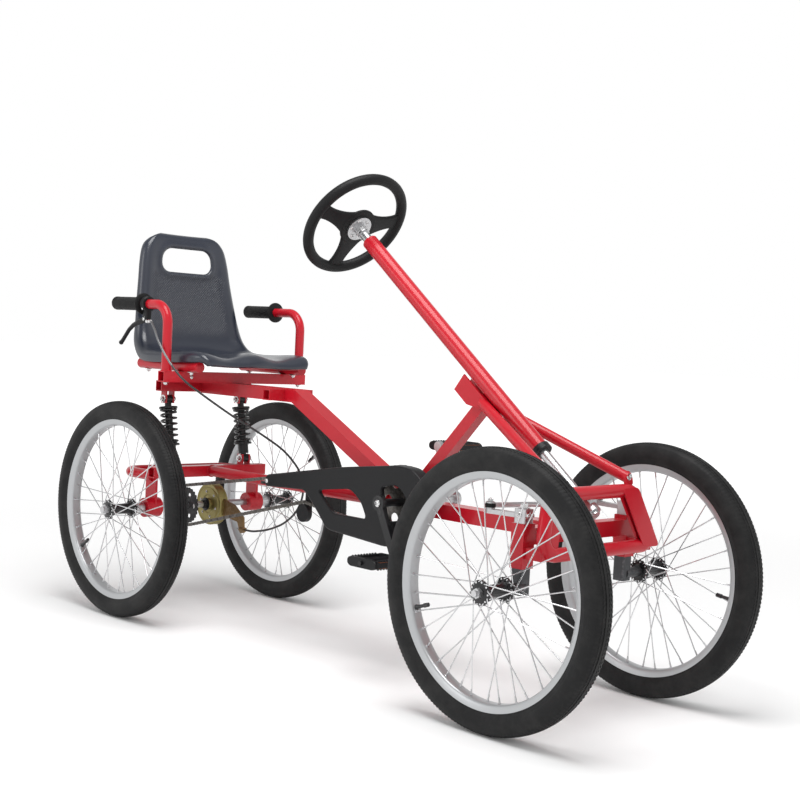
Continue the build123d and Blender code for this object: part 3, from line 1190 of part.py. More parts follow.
# Seat: one moulded shell lofted down the seat's centre line, open behind and below, with a slot in the back
# Stations: x, z, heading down the seat in degrees, half width, depth of the sides, corner radius, dish of the
# middle and depth of the two thigh channels
SEAT_STATIONS = [
    (-733, 901, 88, 80, 10, 9, 1, 1),
    (-721, 919, 22, 88, 12, 9, 1, 1),
    (-706, 912, -55, 104, 18, 11, 2, 1),
    (-700, 889, -79, 120, 27, 13, 3, 1),
    (-696, 850, -84, 131, 33, 14, 5, 1),
    (-691, 800, -84, 142, 35, 16, 7, 1),
    (-686, 748, -84, 153, 37, 17, 8, 1),
    (-680, 698, -81, 162, 40, 18, 8, 1),
    (-667, 658, -62, 168, 47, 19, 6, 1),
    (-636, 636, -20, 171, 36, 18, 5, 2),
    (-590, 630, -1, 172, 28, 17, 4, 4),
    (-520, 631, 1, 171, 27, 16, 3, 8),
    (-450, 634, 0, 168, 27, 15, 1, 12),
    (-408, 630, -22, 162, 23, 13, 1, 11),
    (-389, 616, -58, 153, 15, 10, 1, 8),
    (-383, 601, -84, 145, 10, 8, 1, 5),
]
SLOT_STATION = 4


def face_plane(x, z, heading):
    """The plane square to the seat's face: its X along Y, its Z out of the face."""
    turn = radians(heading)
    return Plane(origin=(x, 0, z), x_dir=(0, 1, 0), z_dir=(-sin(turn), 0, cos(turn)))


def seat_runs(width, depth, corner, dish, channel, under):
    """A station's lines and arcs from right to left, moved under the seat's face by a distance."""
    flat, side, arc = width - corner, width - under, corner - under
    bend = (-flat - arc * cos(pi / 4), -corner + arc * sin(pi / 4))
    dip = (-flat / 2, -under - 0.75 * dish - channel)
    half = [
        ((-side, -depth), (-side, -corner)),
        ((-side, -corner), bend, (-flat, -under)),
        ((-flat, -under), dip, (0, -under - dish)),
    ]
    mirrored = [tuple((-y, v) for y, v in reversed(run)) for run in reversed(half)]
    return half + mirrored


def seat_section(x, z, heading, *sizes):
    """The shell's closed section at one station."""
    turn = radians(heading)
    out = Vector(-sin(turn), 0, cos(turn))
    outer = seat_runs(*sizes, 0.0)
    inner = [tuple(reversed(run)) for run in reversed(seat_runs(*sizes, SEAT_WALL))]
    rims = [(outer[-1][-1], inner[0][0]), (inner[-1][-1], outer[0][0])]
    with BuildSketch(Plane(origin=(x, 0, z), x_dir=(0, 1, 0), z_dir=Vector(0, 1, 0).cross(out))) as section:
        with BuildLine():
            for run in outer + rims[:1] + inner + rims[1:]:
                if len(run) == 2:
                    Line(*run)
                else:
                    ThreePointArc(*run)
        make_face()
    return section.sketch


SLOT_PLANE = face_plane(*SEAT_STATIONS[SLOT_STATION][:3])
with BuildPart() as seat_shell:
    loft(sections=[seat_section(*station) for station in SEAT_STATIONS])
    with BuildSketch(SLOT_PLANE.offset(-SEAT_LIP_START)) as lip:
        lip_size = (SEAT_SLOT_LENGTH + 2 * SEAT_WALL, SEAT_SLOT_HEIGHT + 2 * SEAT_WALL)
        RectangleRounded(*lip_size, SEAT_SLOT_CORNER + SEAT_WALL)
    extrude(lip.sketch, amount=-SEAT_LIP_DEPTH)
    with BuildSketch(SLOT_PLANE) as slot:
        RectangleRounded(SEAT_SLOT_LENGTH, SEAT_SLOT_HEIGHT, SEAT_SLOT_CORNER)
    extrude(slot.sketch, amount=SEAT_CUT_REACH, both=True, mode=Mode.SUBTRACT)
save(seat_shell, "seat_shell")

# Shocks: damper with two eyes, and a coil spring between its cups
for side, hand in ((1, "left"), (-1, "right")):
    top = Vector(SHOCK_TOP_X, side * SHOCK_HALF, SHOCK_TOP_Z)
    bottom = Vector(SHOCK_BOTTOM_X, side * SHOCK_HALF, SHOCK_BOTTOM_Z)
    span = (bottom - top).length
    down = (bottom - top).normalized()
    spring_end = SHOCK_SPRING_START + SPRING_LENGTH
    # Round sections from the upper eye down: start, end and radius
    sections = (
        (0.0, SHOCK_SPRING_START, SHOCK_NECK_RADIUS),
        (SHOCK_SPRING_START - SPRING_CUP_HEIGHT, SHOCK_SPRING_START, SPRING_CUP_RADIUS),
        (SHOCK_SPRING_START, spring_end, SHOCK_ROD_RADIUS),
        (spring_end, spring_end + SPRING_CUP_HEIGHT, SPRING_CUP_RADIUS),
        (spring_end, span - SHOCK_FOOT_LENGTH, SHOCK_BODY_RADIUS),
        (span - SHOCK_FOOT_LENGTH, span, SHOCK_FOOT_RADIUS),
    )
    with BuildPart() as shock:
        for start, end, radius in sections:
            round_bar(top + down * start, top + down * end, radius)
        for eye in (top, bottom):
            half = Vector(0, SHOCK_EYE_WIDTH / 2, 0)
            round_bar(eye - half, eye + half, SHOCK_EYE_RADIUS)
    save(shock, f"shock_{hand}")

    frame = Plane(origin=top + down * (SHOCK_SPRING_START + SPRING_WIRE / 2 + SEAT_FIT), x_dir=(0, 1, 0), z_dir=down)
    rise = SPRING_LENGTH - SPRING_WIRE - 2 * SEAT_FIT
    with BuildPart() as spring:
        last = SPRING_TURNS * SPRING_STATIONS
        for station in range(last + 1):
            angle = 2 * pi * station / SPRING_STATIONS
            out = Vector(cos(angle), sin(angle), 0)
            centre = frame.from_local_coords(out * SPRING_RADIUS + Vector(0, 0, rise * station / last))
            across = frame.from_local_coords(out) - frame.origin
            along = frame.from_local_coords(Vector(-sin(angle), cos(angle), 0)) - frame.origin
            with BuildSketch(Plane(origin=centre, x_dir=across, z_dir=along)):
                Rectangle(SPRING_WIRE, SPRING_WIRE)
        loft(ruled=True)
    save(spring, f"spring_{hand}")

# Brake cable: from the lever, outside the arm, under the seat and round to the brake's arm
CABLE_END = CABLE_STOP + Vector(CABLE_STOP_HALF, 0, 0)
CABLE_ROUTE = [
    (CABLE_START.X, CABLE_START.Y, CABLE_START.Z),
    (CABLE_START.X + CABLE_FRONT_LEAD, CABLE_START.Y, CABLE_START.Z),
    (-520, -205, 678),
    (-500, -211, 658),
    (-460, -213, 618),
    (-420, -196, 570),
    (-380, -150, 528),
    (-345, -100, 488),
    (-312, -46, 452),
    (-284, 4, 414),
    (-262, 34, 368),
    (-256, 42, 318),
    (-276, 40, 272),
    (-318, 36, 238),
    (-374, 32, 216),
    (CABLE_END.X + CABLE_REAR_LEAD, CABLE_END.Y, CABLE_END.Z),
    (CABLE_END.X, CABLE_END.Y, CABLE_END.Z),
]


def bend_radii(route):
    """The radius at each inner point: a share of the shorter run over the tangent of half the turn."""
    points = [Vector(*point) for point in route]
    radii = []
    for before, here, after in zip(points, points[1:], points[2:]):
        turn = radians((here - before).get_angle(after - here))
        shorter = min((here - before).length, (after - here).length)
        radii.append(CABLE_BEND_SHARE * shorter / tan(turn / 2))
    return radii


CABLE_RADII = bend_radii(CABLE_ROUTE)
print("cable radii", [round(radius) for radius in CABLE_RADII])
with BuildPart() as brake_cable:
    with BuildLine() as route:
        FilletPolyline(*CABLE_ROUTE, radius=CABLE_RADII)
    with BuildSketch(Plane(origin=route.line @ 0, z_dir=route.line % 0)) as section:
        Circle(CABLE_RADIUS)
    sweep(section.sketch, path=route.line)
run = sum(edge.length for edge in route.edges())
print("cable volume", round(brake_cable.part.volume), "expected", round(run * pi * CABLE_RADIUS**2))
save(brake_cable, "brake_cable")
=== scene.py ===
"""Looks for the four-wheel pedal bike: finishes, wheels, seat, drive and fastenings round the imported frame.

The scene is in metres in the frame's own axes: +X forwards, +Y to the rider's left, +Z up. The sizes that
the classes hold are in millimetres, apart from those of the studio, the finishes and the node groups.
"""

from __future__ import annotations

import json
import logging
import math
from dataclasses import dataclass, field
from enum import Enum
from typing import Callable, Iterable, Sequence

import bmesh
import bpy
from mathutils import Matrix, Vector, geometry

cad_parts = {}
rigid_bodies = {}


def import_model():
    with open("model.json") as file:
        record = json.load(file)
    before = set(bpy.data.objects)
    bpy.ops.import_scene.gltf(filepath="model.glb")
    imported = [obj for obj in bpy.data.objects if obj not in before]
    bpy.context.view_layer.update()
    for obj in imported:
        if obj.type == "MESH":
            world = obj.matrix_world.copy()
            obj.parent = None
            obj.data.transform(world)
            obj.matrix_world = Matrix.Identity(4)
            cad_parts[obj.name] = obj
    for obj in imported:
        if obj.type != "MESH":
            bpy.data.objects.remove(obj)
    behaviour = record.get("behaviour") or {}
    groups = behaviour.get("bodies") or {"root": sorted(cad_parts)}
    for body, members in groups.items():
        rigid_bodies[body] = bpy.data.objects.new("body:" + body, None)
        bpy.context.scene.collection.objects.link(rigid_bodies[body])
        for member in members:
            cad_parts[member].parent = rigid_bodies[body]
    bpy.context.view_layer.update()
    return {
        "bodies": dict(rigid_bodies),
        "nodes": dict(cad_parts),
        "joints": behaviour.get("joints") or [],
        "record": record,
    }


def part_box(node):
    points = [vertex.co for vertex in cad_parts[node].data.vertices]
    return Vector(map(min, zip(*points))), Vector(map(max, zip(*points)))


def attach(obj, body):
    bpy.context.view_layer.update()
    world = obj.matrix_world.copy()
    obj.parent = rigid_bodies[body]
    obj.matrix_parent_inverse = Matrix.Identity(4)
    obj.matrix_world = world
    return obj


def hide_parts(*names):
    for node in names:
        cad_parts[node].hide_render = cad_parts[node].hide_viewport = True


LOG = logging.getLogger("pedal_bike")
MM = 0.001
FULL_TURN = 2 * math.pi
FORWARD = Vector((1.0, 0.0, 0.0))
AXLE_AXIS = Vector((0.0, 1.0, 0.0))
UP = Vector((0.0, 0.0, 1.0))
SMOOTH_ANGLE = math.radians(38)
SEAT_ANGLE = math.radians(60)
NEARLY_ALONG = 0.98
CORNER_SHARE = 0.45
BRUSH_STRETCH = 14
SCALE_DEPTH = 0.0011

Color = tuple[float, float, float]
Pair = tuple[float, float]
Spot = tuple[float, float, float]
Profile = Sequence[Pair]
Links = dict[str | int, object]

# Places that several pieces share: X and Z in millimetres, and distances from the bike's middle
SHOCK_TOP = (-602.0, 514.0)
SHOCK_FOOT = (-578.0, 368.0)
SHOCK_OUT = 108.0
CRANK_AXIS = (165.0, 352.0)
BEAM_PIVOT = (62.0, 340.0)
ARMREST_X = -484.0
ARMREST_OUT = 195.0
ROD_EYE_X = 513.0
ROD_EYE_OUT = 158.0


class Skin(Enum):
    """The finishes of the bike's pieces."""

    RED_PAINT = "red_paint"
    BLACK_PAINT = "black_paint"
    TYRE = "tyre_rubber"
    RIM = "rim_alloy"
    SPOKE = "spoke_steel"
    HUB = "hub_black"
    ZINC = "zinc_plate"
    GOLD = "yellow_zinc"
    CHAIN = "chain_steel"
    PLASTIC = "moulded_plastic"
    SEAT = "seat_shell_plastic"
    GRIP = "grip_rubber"
    CABLE = "cable_sleeve"
    WIRE = "cable_wire"
    BOLT = "bright_bolt"
    SPRING = "spring_black"
    STEEL = "dark_steel"
    BRACKET = "brown_zinc"
    REFLECTOR = "amber_reflector"


class Relief(Enum):
    """The fine surface relief of a finish."""

    EVEN = "even grain"
    BRUSHED = "brushed"
    SCALES = "diamond scales on the seat's back panel"


class Kind(Enum):
    """What the sockets of a shared effect carry."""

    COLOR = "NodeSocketColor"
    VALUE = "NodeSocketFloat"
    VECTOR = "NodeSocketVector"


class Hand(Enum):
    """The bike's two sides."""

    LEFT = "left"
    RIGHT = "right"

    @property
    def way(self) -> int:
        """1 on the rider's left and -1 on the right."""
        return 1 if self is Hand.LEFT else -1

    @property
    def out(self) -> Vector:
        """The direction away from the bike's middle."""
        return AXLE_AXIS * self.way


def metres(values: Iterable[float]) -> Vector:
    """Millimetres to a vector in metres."""
    return Vector([value * MM for value in values])


def stand(origin: Vector, axis: Vector, side: Vector | None = None) -> Matrix:
    """A frame whose Z runs along an axis.

    Args:
        origin: the frame's origin.
        axis: the direction of its Z.
        side: a direction near its X, or None for any.

    Returns:
        The matrix from the frame to the bike's axes.
    """
    along = Vector(axis).normalized()
    hint = Vector(side) if side is not None else FORWARD
    if abs(hint.normalized().dot(along)) > NEARLY_ALONG:
        hint = UP
    across = (hint - along * hint.dot(along)).normalized()
    up = along.cross(across)
    turn = Matrix((across, up, along)).transposed().to_4x4()
    return Matrix.Translation(origin) @ turn


def middle(node: str) -> Vector:
    """The centre of a CAD node's box, in metres."""
    low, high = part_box(node)
    return (Vector(low) + Vector(high)) / 2


@dataclass
class Form:
    """Points and faces of one piece, gathered before they become a mesh."""

    points: list[Vector] = field(default_factory=list)
    faces: list[tuple[int, ...]] = field(default_factory=list)
    skins: list[int] = field(default_factory=list)

    def add(self, points: Iterable[Vector], faces: Iterable[Sequence[int]], skin: int = 0) -> None:
        """Adds points and the faces between them.

        Args:
            points: the new points.
            faces: faces as indices into the new points.
            skin: the number of the faces' finish.
        """
        first = len(self.points)
        self.points.extend(Vector(point) for point in points)
        for face in faces:
            self.faces.append(tuple(first + index for index in face))
            self.skins.append(skin)

    def rows(self, rows: Sequence[Sequence[Vector]], skin: int = 0, ring: bool = True,
             loop: bool = False, ends: bool = True) -> None:
        """Skins a row of equal lines of points.

        Args:
            rows: the lines, each with as many points.
            skin: the number of the finish.
            ring: whether each line closes on itself.
            loop: whether the last line joins the first.
            ends: whether open ends get a face.
        """
        count = len(rows[0])
        faces: list[tuple[int, ...]] = []
        for row in range(len(rows) if loop else len(rows) - 1):
            after = (row + 1) % len(rows)
            for column in range(count if ring else count - 1):
                beside = (column + 1) % count
                faces.append((row * count + column, row * count + beside,
                              after * count + beside, after * count + column))
        if ends and ring and not loop:
            faces.append(tuple(reversed(range(count))))
            last = (len(rows) - 1) * count
            faces.append(tuple(range(last, last + count)))
        self.add([point for line in rows for point in line], faces, skin)

    def lathe(self, profile: Profile, place: Matrix, segments: int = 48, skin: int = 0,
              loop: bool = False, reach: Callable[[int, int], float] | None = None) -> None:
        """Turns a profile round the frame's Z.

        Args:
            profile: pairs of height along Z and radius, in millimetres.
            place: the frame.
            segments: steps in the turn.
            skin: the number of the finish.
            loop: whether the profile closes on itself.
            reach: millimetres to add to the radius of a profile point at a segment.
        """
        rows = []
        for number, (height, radius) in enumerate(profile):
            line = []
            for step in range(segments):
                angle = FULL_TURN * step / segments
                out = (radius + (reach(number, step) if reach else 0.0)) * MM
                line.append(place @ Vector((out * math.cos(angle), out * math.sin(angle), height * MM)))
            rows.append(line)
        self.rows(rows, skin, loop=loop)

    def sweep(self, route: Sequence[Vector], section: Profile | Callable[[float], Profile], skin: int = 0,
              loop: bool = False, side: Vector | None = None) -> None:
        """Carries a closed section along a route.

        Args:
            route: points of the route.
            section: pairs across and up in millimetres, or a function of the share of the route.
            skin: the number of the finish.
            loop: whether the route closes on itself.
            side: the direction that the section's across keeps to, or None to carry it along.
        """
        count = len(route)
        rows = []
        across = None
        for number, point in enumerate(route):
            before = route[number - 1] if number or loop else route[0]
            after = route[(number + 1) % count] if number < count - 1 or loop else route[-1]
            along = (Vector(after) - Vector(before)).normalized()
            hint = side if side is not None else across if across is not None else along.orthogonal()
            across = (Vector(hint) - along * along.dot(Vector(hint))).normalized()
            up = along.cross(across)
            shape = section(number / max(count - 1, 1)) if callable(section) else section
            rows.append([Vector(point) + across * (a * MM) + up * (b * MM) for a, b in shape])
        self.rows(rows, skin, loop=loop)

    def prism(self, outline: Profile, place: Matrix, depth: float, skin: int = 0,
              round_off: float = 0.0) -> None:
        """A plate with an outline, its two rims eased.

        Args:
            outline: pairs of X and Y in the frame, in millimetres.
            place: the frame, the plate going from its origin along Z.
            depth: the plate's thickness in millimetres.
            skin: the number of the finish.
            round_off: how far the rims are eased, in millimetres.
        """
        heart_x = sum(x for x, _ in outline) / len(outline)
        heart_y = sum(y for _, y in outline) / len(outline)
        size = max(math.hypot(x - heart_x, y - heart_y) for x, y in outline)
        steps = [(0.0, round_off), (round_off, 0.0), (depth - round_off, 0.0), (depth, round_off)]
        if not round_off:
            steps = [(0.0, 0.0), (depth, 0.0)]
        rows = []
        for height, inset in steps:
            share = 1 - inset / size
            drawn = [(heart_x + (x - heart_x) * share, heart_y + (y - heart_y) * share) for x, y in outline]
            rows.append([place @ metres((x, y, height)) for x, y in drawn])
        self.rows(rows, skin)


def turns(count: int) -> list[float]:
    """The angles of that many even steps in a full turn."""
    return [FULL_TURN * step / count for step in range(count)]


def circle(radius: float, sides: int = 12) -> list[Pair]:
    """A regular outline of that radius, in millimetres."""
    return [(radius * math.cos(turn), radius * math.sin(turn)) for turn in turns(sides)]


def rounded_box(width: float, height: float, corner: float, steps: int = 3) -> list[Pair]:
    """A rectangle's outline with rounded corners.

    Args:
        width: its size across.
        height: its size up.
        corner: the corners' radius.
        steps: steps in each corner.

    Returns:
        Pairs in millimetres, anticlockwise.
    """
    outline = []
    for quarter, (sx, sy) in enumerate(((1, 1), (-1, 1), (-1, -1), (1, -1))):
        for step in range(steps + 1):
            angle = (quarter + step / steps) * math.pi / 2
            outline.append((sx * (width / 2 - corner) + corner * math.cos(angle),
                            sy * (height / 2 - corner) + corner * math.sin(angle)))
    return outline


def eased(outline: Profile, radius: float, steps: int = 5) -> list[Pair]:
    """An outline with its corners rounded.

    Args:
        outline: its corners in order, in millimetres.
        radius: the largest corner radius.
        steps: steps in each corner.

    Returns:
        The rounded outline.
    """
    found = []
    corners = [Vector(corner) for corner in outline]
    for number, corner in enumerate(corners):
        back = corners[number - 1] - corner
        ahead = corners[(number + 1) % len(corners)] - corner
        reach = min(radius, CORNER_SHARE * back.length, CORNER_SHARE * ahead.length)
        start = corner + back.normalized() * reach
        end = corner + ahead.normalized() * reach
        for step in range(steps + 1):
            share = step / steps
            point = start * (1 - share) ** 2 + corner * 2 * share * (1 - share) + end * share ** 2
            found.append((point.x, point.y))
    return found


def shrunk(outline: Profile, inset: float) -> list[Pair]:
    """An outline moved inwards along its normals.

    Args:
        outline: its points in order, in millimetres.
        inset: how far inwards, whichever way the outline turns.

    Returns:
        The smaller outline.
    """
    points = [Vector(point) for point in outline]
    area = sum(a.x * b.y - b.x * a.y for a, b in zip(points, points[1:] + points[:1]))
    way = 1.0 if area > 0 else -1.0
    found = []
    for number, point in enumerate(points):
        run = points[(number + 1) % len(points)] - points[number - 1]
        normal = Vector((-run.y, run.x)).normalized() * way
        found.append(tuple(point + normal * inset))
    return found


def hexagon_head(form: Form, place: Vector, axis: Vector, size: float, skin: int = 0,
                 washer: bool = True) -> None:
    """A hexagon head on its washer.

    Args:
        form: the form that takes it.
        place: the point on the seat, in metres.
        axis: the way it points.
        size: half the head's width across corners, in millimetres.
        skin: the number of the finish.
        washer: whether it has a washer.
    """
    seat = stand(place, axis)
    base = 0.0
    if washer:
        base = size * 0.25
        form.lathe([(0.0, size * 0.5), (0.0, size * 1.45), (0.35 * size * 0.5, size * 1.5),
                    (base, size * 1.35), (base, size * 0.5)], seat, 20, skin, loop=True)
    rows = []
    for height, radius in ((base, size), (base + size * 0.72, size), (base + size * 0.86, size * 0.86)):
        rows.append([seat @ metres((x, y, height)) for x, y in circle(radius, 6)])
    form.rows(rows, skin)
    shank = [(base + size * 0.8, size * 0.45), (base + size * 1.12, size * 0.42),
             (base + size * 1.2, size * 0.3)]
    form.lathe(shank, seat, 12, skin)


def pan_head(form: Form, place: Vector, axis: Vector, size: float, skin: int = 0) -> None:
    """A domed screw head with a hexagon socket.

    Args:
        form: the form that takes it.
        place: the point on the seat, in metres.
        axis: the way it points.
        size: the head's radius in millimetres.
        skin: the number of the finish.
    """
    seat = stand(place, axis)
    form.lathe([(0.0, size), (size * 0.25, size), (size * 0.5, size * 0.8), (size * 0.6, size * 0.5),
                (size * 0.25, size * 0.42)], seat, 18, skin)


class Workshop:
    """Turns forms into finished pieces that ride on the bike's bodies."""

    def __init__(self, finishes: dict[Skin, bpy.types.Material]) -> None:
        """Keeps the finishes.

        Args:
            finishes: the material of each skin.
        """
        self.finishes = finishes
        self.made = 0

    def piece(self, name: str, form: Form, body: str, skins: Sequence[Skin],
              replaces: Sequence[str] = (), angle: float = SMOOTH_ANGLE) -> bpy.types.Object:
        """Makes one piece from a form.

        Args:
            name: the piece's name.
            form: its points and faces.
            body: the body it rides on.
            skins: its finishes, by the numbers its faces carry.
            replaces: the CAD nodes it stands for.
            angle: edges sharper than this stay sharp.

        Returns:
            The new object.
        """
        mesh = bpy.data.meshes.new(name)
        mesh.from_pydata([tuple(point) for point in form.points], [], form.faces)
        for skin in skins:
            mesh.materials.append(self.finishes[skin])
        mesh.polygons.foreach_set("material_index", form.skins)
        whole = bmesh.new()
        whole.from_mesh(mesh)
        bmesh.ops.recalc_face_normals(whole, faces=whole.faces)
        whole.to_mesh(mesh)
        whole.free()
        mesh.polygons.foreach_set("use_smooth", [True] * len(mesh.polygons))
        mesh.set_sharp_from_angle(angle=angle)
        thing = bpy.data.objects.new(name, mesh)
        bpy.context.scene.collection.objects.link(thing)
        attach(thing, body)
        if replaces:
            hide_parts(*replaces)
        self.made += 1
        LOG.info("%s: %d faces on %s", name, len(mesh.polygons), body)
        return thing


@dataclass
class GroupMaker:
    """One shared node group while it is being wired."""

    name: str
    inputs: Sequence[tuple[str, Kind, object]]
    outputs: Sequence[tuple[str, Kind]]

    def __post_init__(self) -> None:
        """Makes the group's tree with its sockets."""
        self.tree = bpy.data.node_groups.new(self.name, "ShaderNodeTree")
        for name, kind, value in self.inputs:
            made = self.tree.interface.new_socket(name, in_out="INPUT", socket_type=kind.value)
            made.default_value = value
        for name, kind in self.outputs:
            self.tree.interface.new_socket(name, in_out="OUTPUT", socket_type=kind.value)
        self.start = self.tree.nodes.new("NodeGroupInput")
        self.end = self.tree.nodes.new("NodeGroupOutput")

    def node(self, kind: str, links: Links | None = None, **settings: object) -> bpy.types.Node:
        """A node in the group.

        Args:
            kind: the node's type without its prefix.
            links: socket name or number to a value or another node's output.
            settings: the node's own properties.

        Returns:
            The new node.
        """
        return wire(self.tree, kind, links, **settings)

    def calc(self, operation: str, first: object, second: object = None,
             clamp: bool = False) -> bpy.types.NodeSocket:
        """A sum of one or two values.

        Args:
            operation: the Math node's name for it.
            first: a number or a node's output.
            second: another, where the operation takes two.
            clamp: whether the result is kept between 0 and 1.

        Returns:
            The result's socket.
        """
        links = {0: first} if second is None else {0: first, 1: second}
        return self.node("Math", links, operation=operation, use_clamp=clamp).outputs[0]

    def band(self, value: bpy.types.NodeSocket, low: object, high: object) -> bpy.types.NodeSocket:
        """A rise from 0 to 1 as a value goes from low to high."""
        return self.node("MapRange", {"Value": value, "From Min": low, "From Max": high}).outputs[0]

    def out(self, name: str, source: bpy.types.NodeSocket) -> None:
        """Links a socket to the group's output of that name."""
        self.tree.links.new(source, self.end.inputs[name])


def wire(tree: bpy.types.NodeTree, kind: str, links: Links | None = None,
         **settings: object) -> bpy.types.Node:
    """Adds a node to a tree and sets or links its inputs.

    Args:
        tree: the tree.
        kind: the node's type without its prefix.
        links: socket name or number to a value or another node's output.
        settings: the node's own properties.

    Returns:
        The new node.
    """
    node = tree.nodes.new("ShaderNode" + kind)
    for key, value in settings.items():
        setattr(node, key, value)
    for key, value in (links or {}).items():
        if isinstance(value, bpy.types.NodeSocket):
            tree.links.new(value, node.inputs[key])
        else:
            node.inputs[key].default_value = value
    return node


class Effects:
    """The node groups that several finishes share."""

    GREY = (0.5, 0.5, 0.5, 1)

    def __init__(self) -> None:
        """Builds each group once."""
        self.tone = self.build_tone()
        self.grain = self.build_grain()
        self.wear = self.build_wear()
        self.dust = self.build_dust()
        self.scales = self.build_scales()

    def build_tone(self) -> bpy.types.NodeTree:
        """Soft variation of a colour and its gloss over the surface.

        Returns:
            The group.
        """
        maker = GroupMaker("Tone Variation",
                           [("Color", Kind.COLOR, self.GREY), ("Amount", Kind.VALUE, 0.1),
                            ("Scale", Kind.VALUE, 12.0), ("Roughness", Kind.VALUE, 0.5)],
                           [("Color", Kind.COLOR), ("Roughness", Kind.VALUE)])
        start = maker.start.outputs
        place = maker.node("TexCoord")
        cloud = maker.node("TexNoise", {"Vector": place.outputs["Object"], "Scale": start["Scale"],
                                        "Detail": 5.0, "Roughness": 0.62})
        spread = maker.calc("SUBTRACT", cloud.outputs["Fac"], 0.5)
        share = maker.calc("MULTIPLY", spread, start["Amount"])
        bright = maker.calc("ADD", share, 1.0)
        shaded = maker.node("HueSaturation", {"Value": bright, "Color": start["Color"]})
        rough = maker.calc("ADD", start["Roughness"], share, clamp=True)
        maker.out("Color", shaded.outputs["Color"])
        maker.out("Roughness", rough)
        return maker.tree

    def build_grain(self) -> bpy.types.NodeTree:
        """Fine relief: noise that can be drawn out along one axis.

        Returns:
            The group.
        """
        maker = GroupMaker("Surface Grain",
                           [("Scale", Kind.VALUE, 300.0), ("Stretch", Kind.VECTOR, (1, 1, 1))],
                           [("Height", Kind.VALUE)])
        start = maker.start.outputs
        place = maker.node("TexCoord")
        drawn = maker.node("VectorMath", {0: place.outputs["Object"], 1: start["Stretch"]},
                           operation="MULTIPLY")
        noise = maker.node("TexNoise", {"Vector": drawn.outputs[0], "Scale": start["Scale"], "Detail": 3.0})
        maker.out("Height", noise.outputs["Fac"])
        return maker.tree

    def build_wear(self) -> bpy.types.NodeTree:
        """A lighter tone along worn edges.

        Returns:
            The group.
        """
        maker = GroupMaker("Edge Wear",
                           [("Color", Kind.COLOR, self.GREY), ("Worn", Kind.COLOR, (0.8, 0.8, 0.8, 1)),
                            ("Amount", Kind.VALUE, 0.5)], [("Color", Kind.COLOR)])
        start = maker.start.outputs
        place = maker.node("TexCoord")
        shape = maker.node("NewGeometry")
        edge = maker.band(shape.outputs["Pointiness"], 0.56, 0.7)
        noise = maker.node("TexNoise", {"Vector": place.outputs["Object"], "Scale": 160.0, "Detail": 4.0})
        broken = maker.band(noise.outputs["Fac"], 0.4, 0.62)
        both = maker.calc("MULTIPLY", edge, broken)
        mask = maker.calc("MULTIPLY", both, start["Amount"], clamp=True)
        mixed = maker.node("MixRGB", {"Fac": mask, "Color1": start["Color"], "Color2": start["Worn"]})
        maker.out("Color", mixed.outputs[0])
        return maker.tree

    def build_dust(self) -> bpy.types.NodeTree:
        """Pale dust that thickens in patches.

        Returns:
            The group.
        """
        maker = GroupMaker("Dust", [("Color", Kind.COLOR, self.GREY),
                                    ("Dust", Kind.COLOR, (0.5, 0.48, 0.45, 1)), ("Amount", Kind.VALUE, 0.1)],
                           [("Color", Kind.COLOR)])
        start = maker.start.outputs
        place = maker.node("TexCoord")
        noise = maker.node("TexNoise", {"Vector": place.outputs["Object"], "Scale": 22.0, "Detail": 8.0,
                                        "Roughness": 0.7})
        patch = maker.band(noise.outputs["Fac"], 0.42, 0.75)
        mask = maker.calc("MULTIPLY", patch, start["Amount"], clamp=True)
        mixed = maker.node("MixRGB", {"Fac": mask, "Color1": start["Color"], "Color2": start["Dust"]})
        maker.out("Color", mixed.outputs[0])
        return maker.tree

    def build_scales(self) -> bpy.types.NodeTree:
        """Crossed diagonal ridges inside a box of the bike's axes: the seat's back panel.

        Returns:
            The group.
        """
        maker = GroupMaker("Panel Scales",
                           [("Pitch", Kind.VALUE, 0.0065), ("Wide", Kind.VALUE, 0.118),
                            ("Full", Kind.VALUE, 0.094), ("Rear", Kind.VALUE, -0.66)],
                           [("Height", Kind.VALUE)])
        start = maker.start.outputs
        place = maker.node("TexCoord")
        parts = maker.node("SeparateXYZ", {0: place.outputs["Object"]})
        waves = []
        for sign in (1.0, -1.0):
            slope = maker.calc("MULTIPLY", parts.outputs["Y"], sign)
            reach = maker.calc("ADD", slope, parts.outputs["Z"])
            turn = maker.calc("DIVIDE", reach, start["Pitch"])
            waves.append(maker.calc("SINE", maker.calc("MULTIPLY", turn, FULL_TURN)))
        both = maker.calc("MAXIMUM", *waves)
        specks = maker.node("TexNoise", {"Vector": place.outputs["Object"], "Scale": 170.0, "Detail": 2.0})
        mottled = maker.calc("MULTIPLY", both, specks.outputs["Fac"])
        width = maker.calc("ABSOLUTE", parts.outputs["Y"])
        mask = maker.band(width, start["Wide"], start["Full"])
        above = maker.band(parts.outputs["Z"], 0.652, 0.7)
        below = maker.band(parts.outputs["Z"], 0.83, 0.812)
        behind = maker.calc("LESS_THAN", parts.outputs["X"], start["Rear"])
        for more in (above, below, behind):
            mask = maker.calc("MULTIPLY", mask, more)
        maker.out("Height", maker.calc("MULTIPLY", mottled, mask))
        return maker.tree


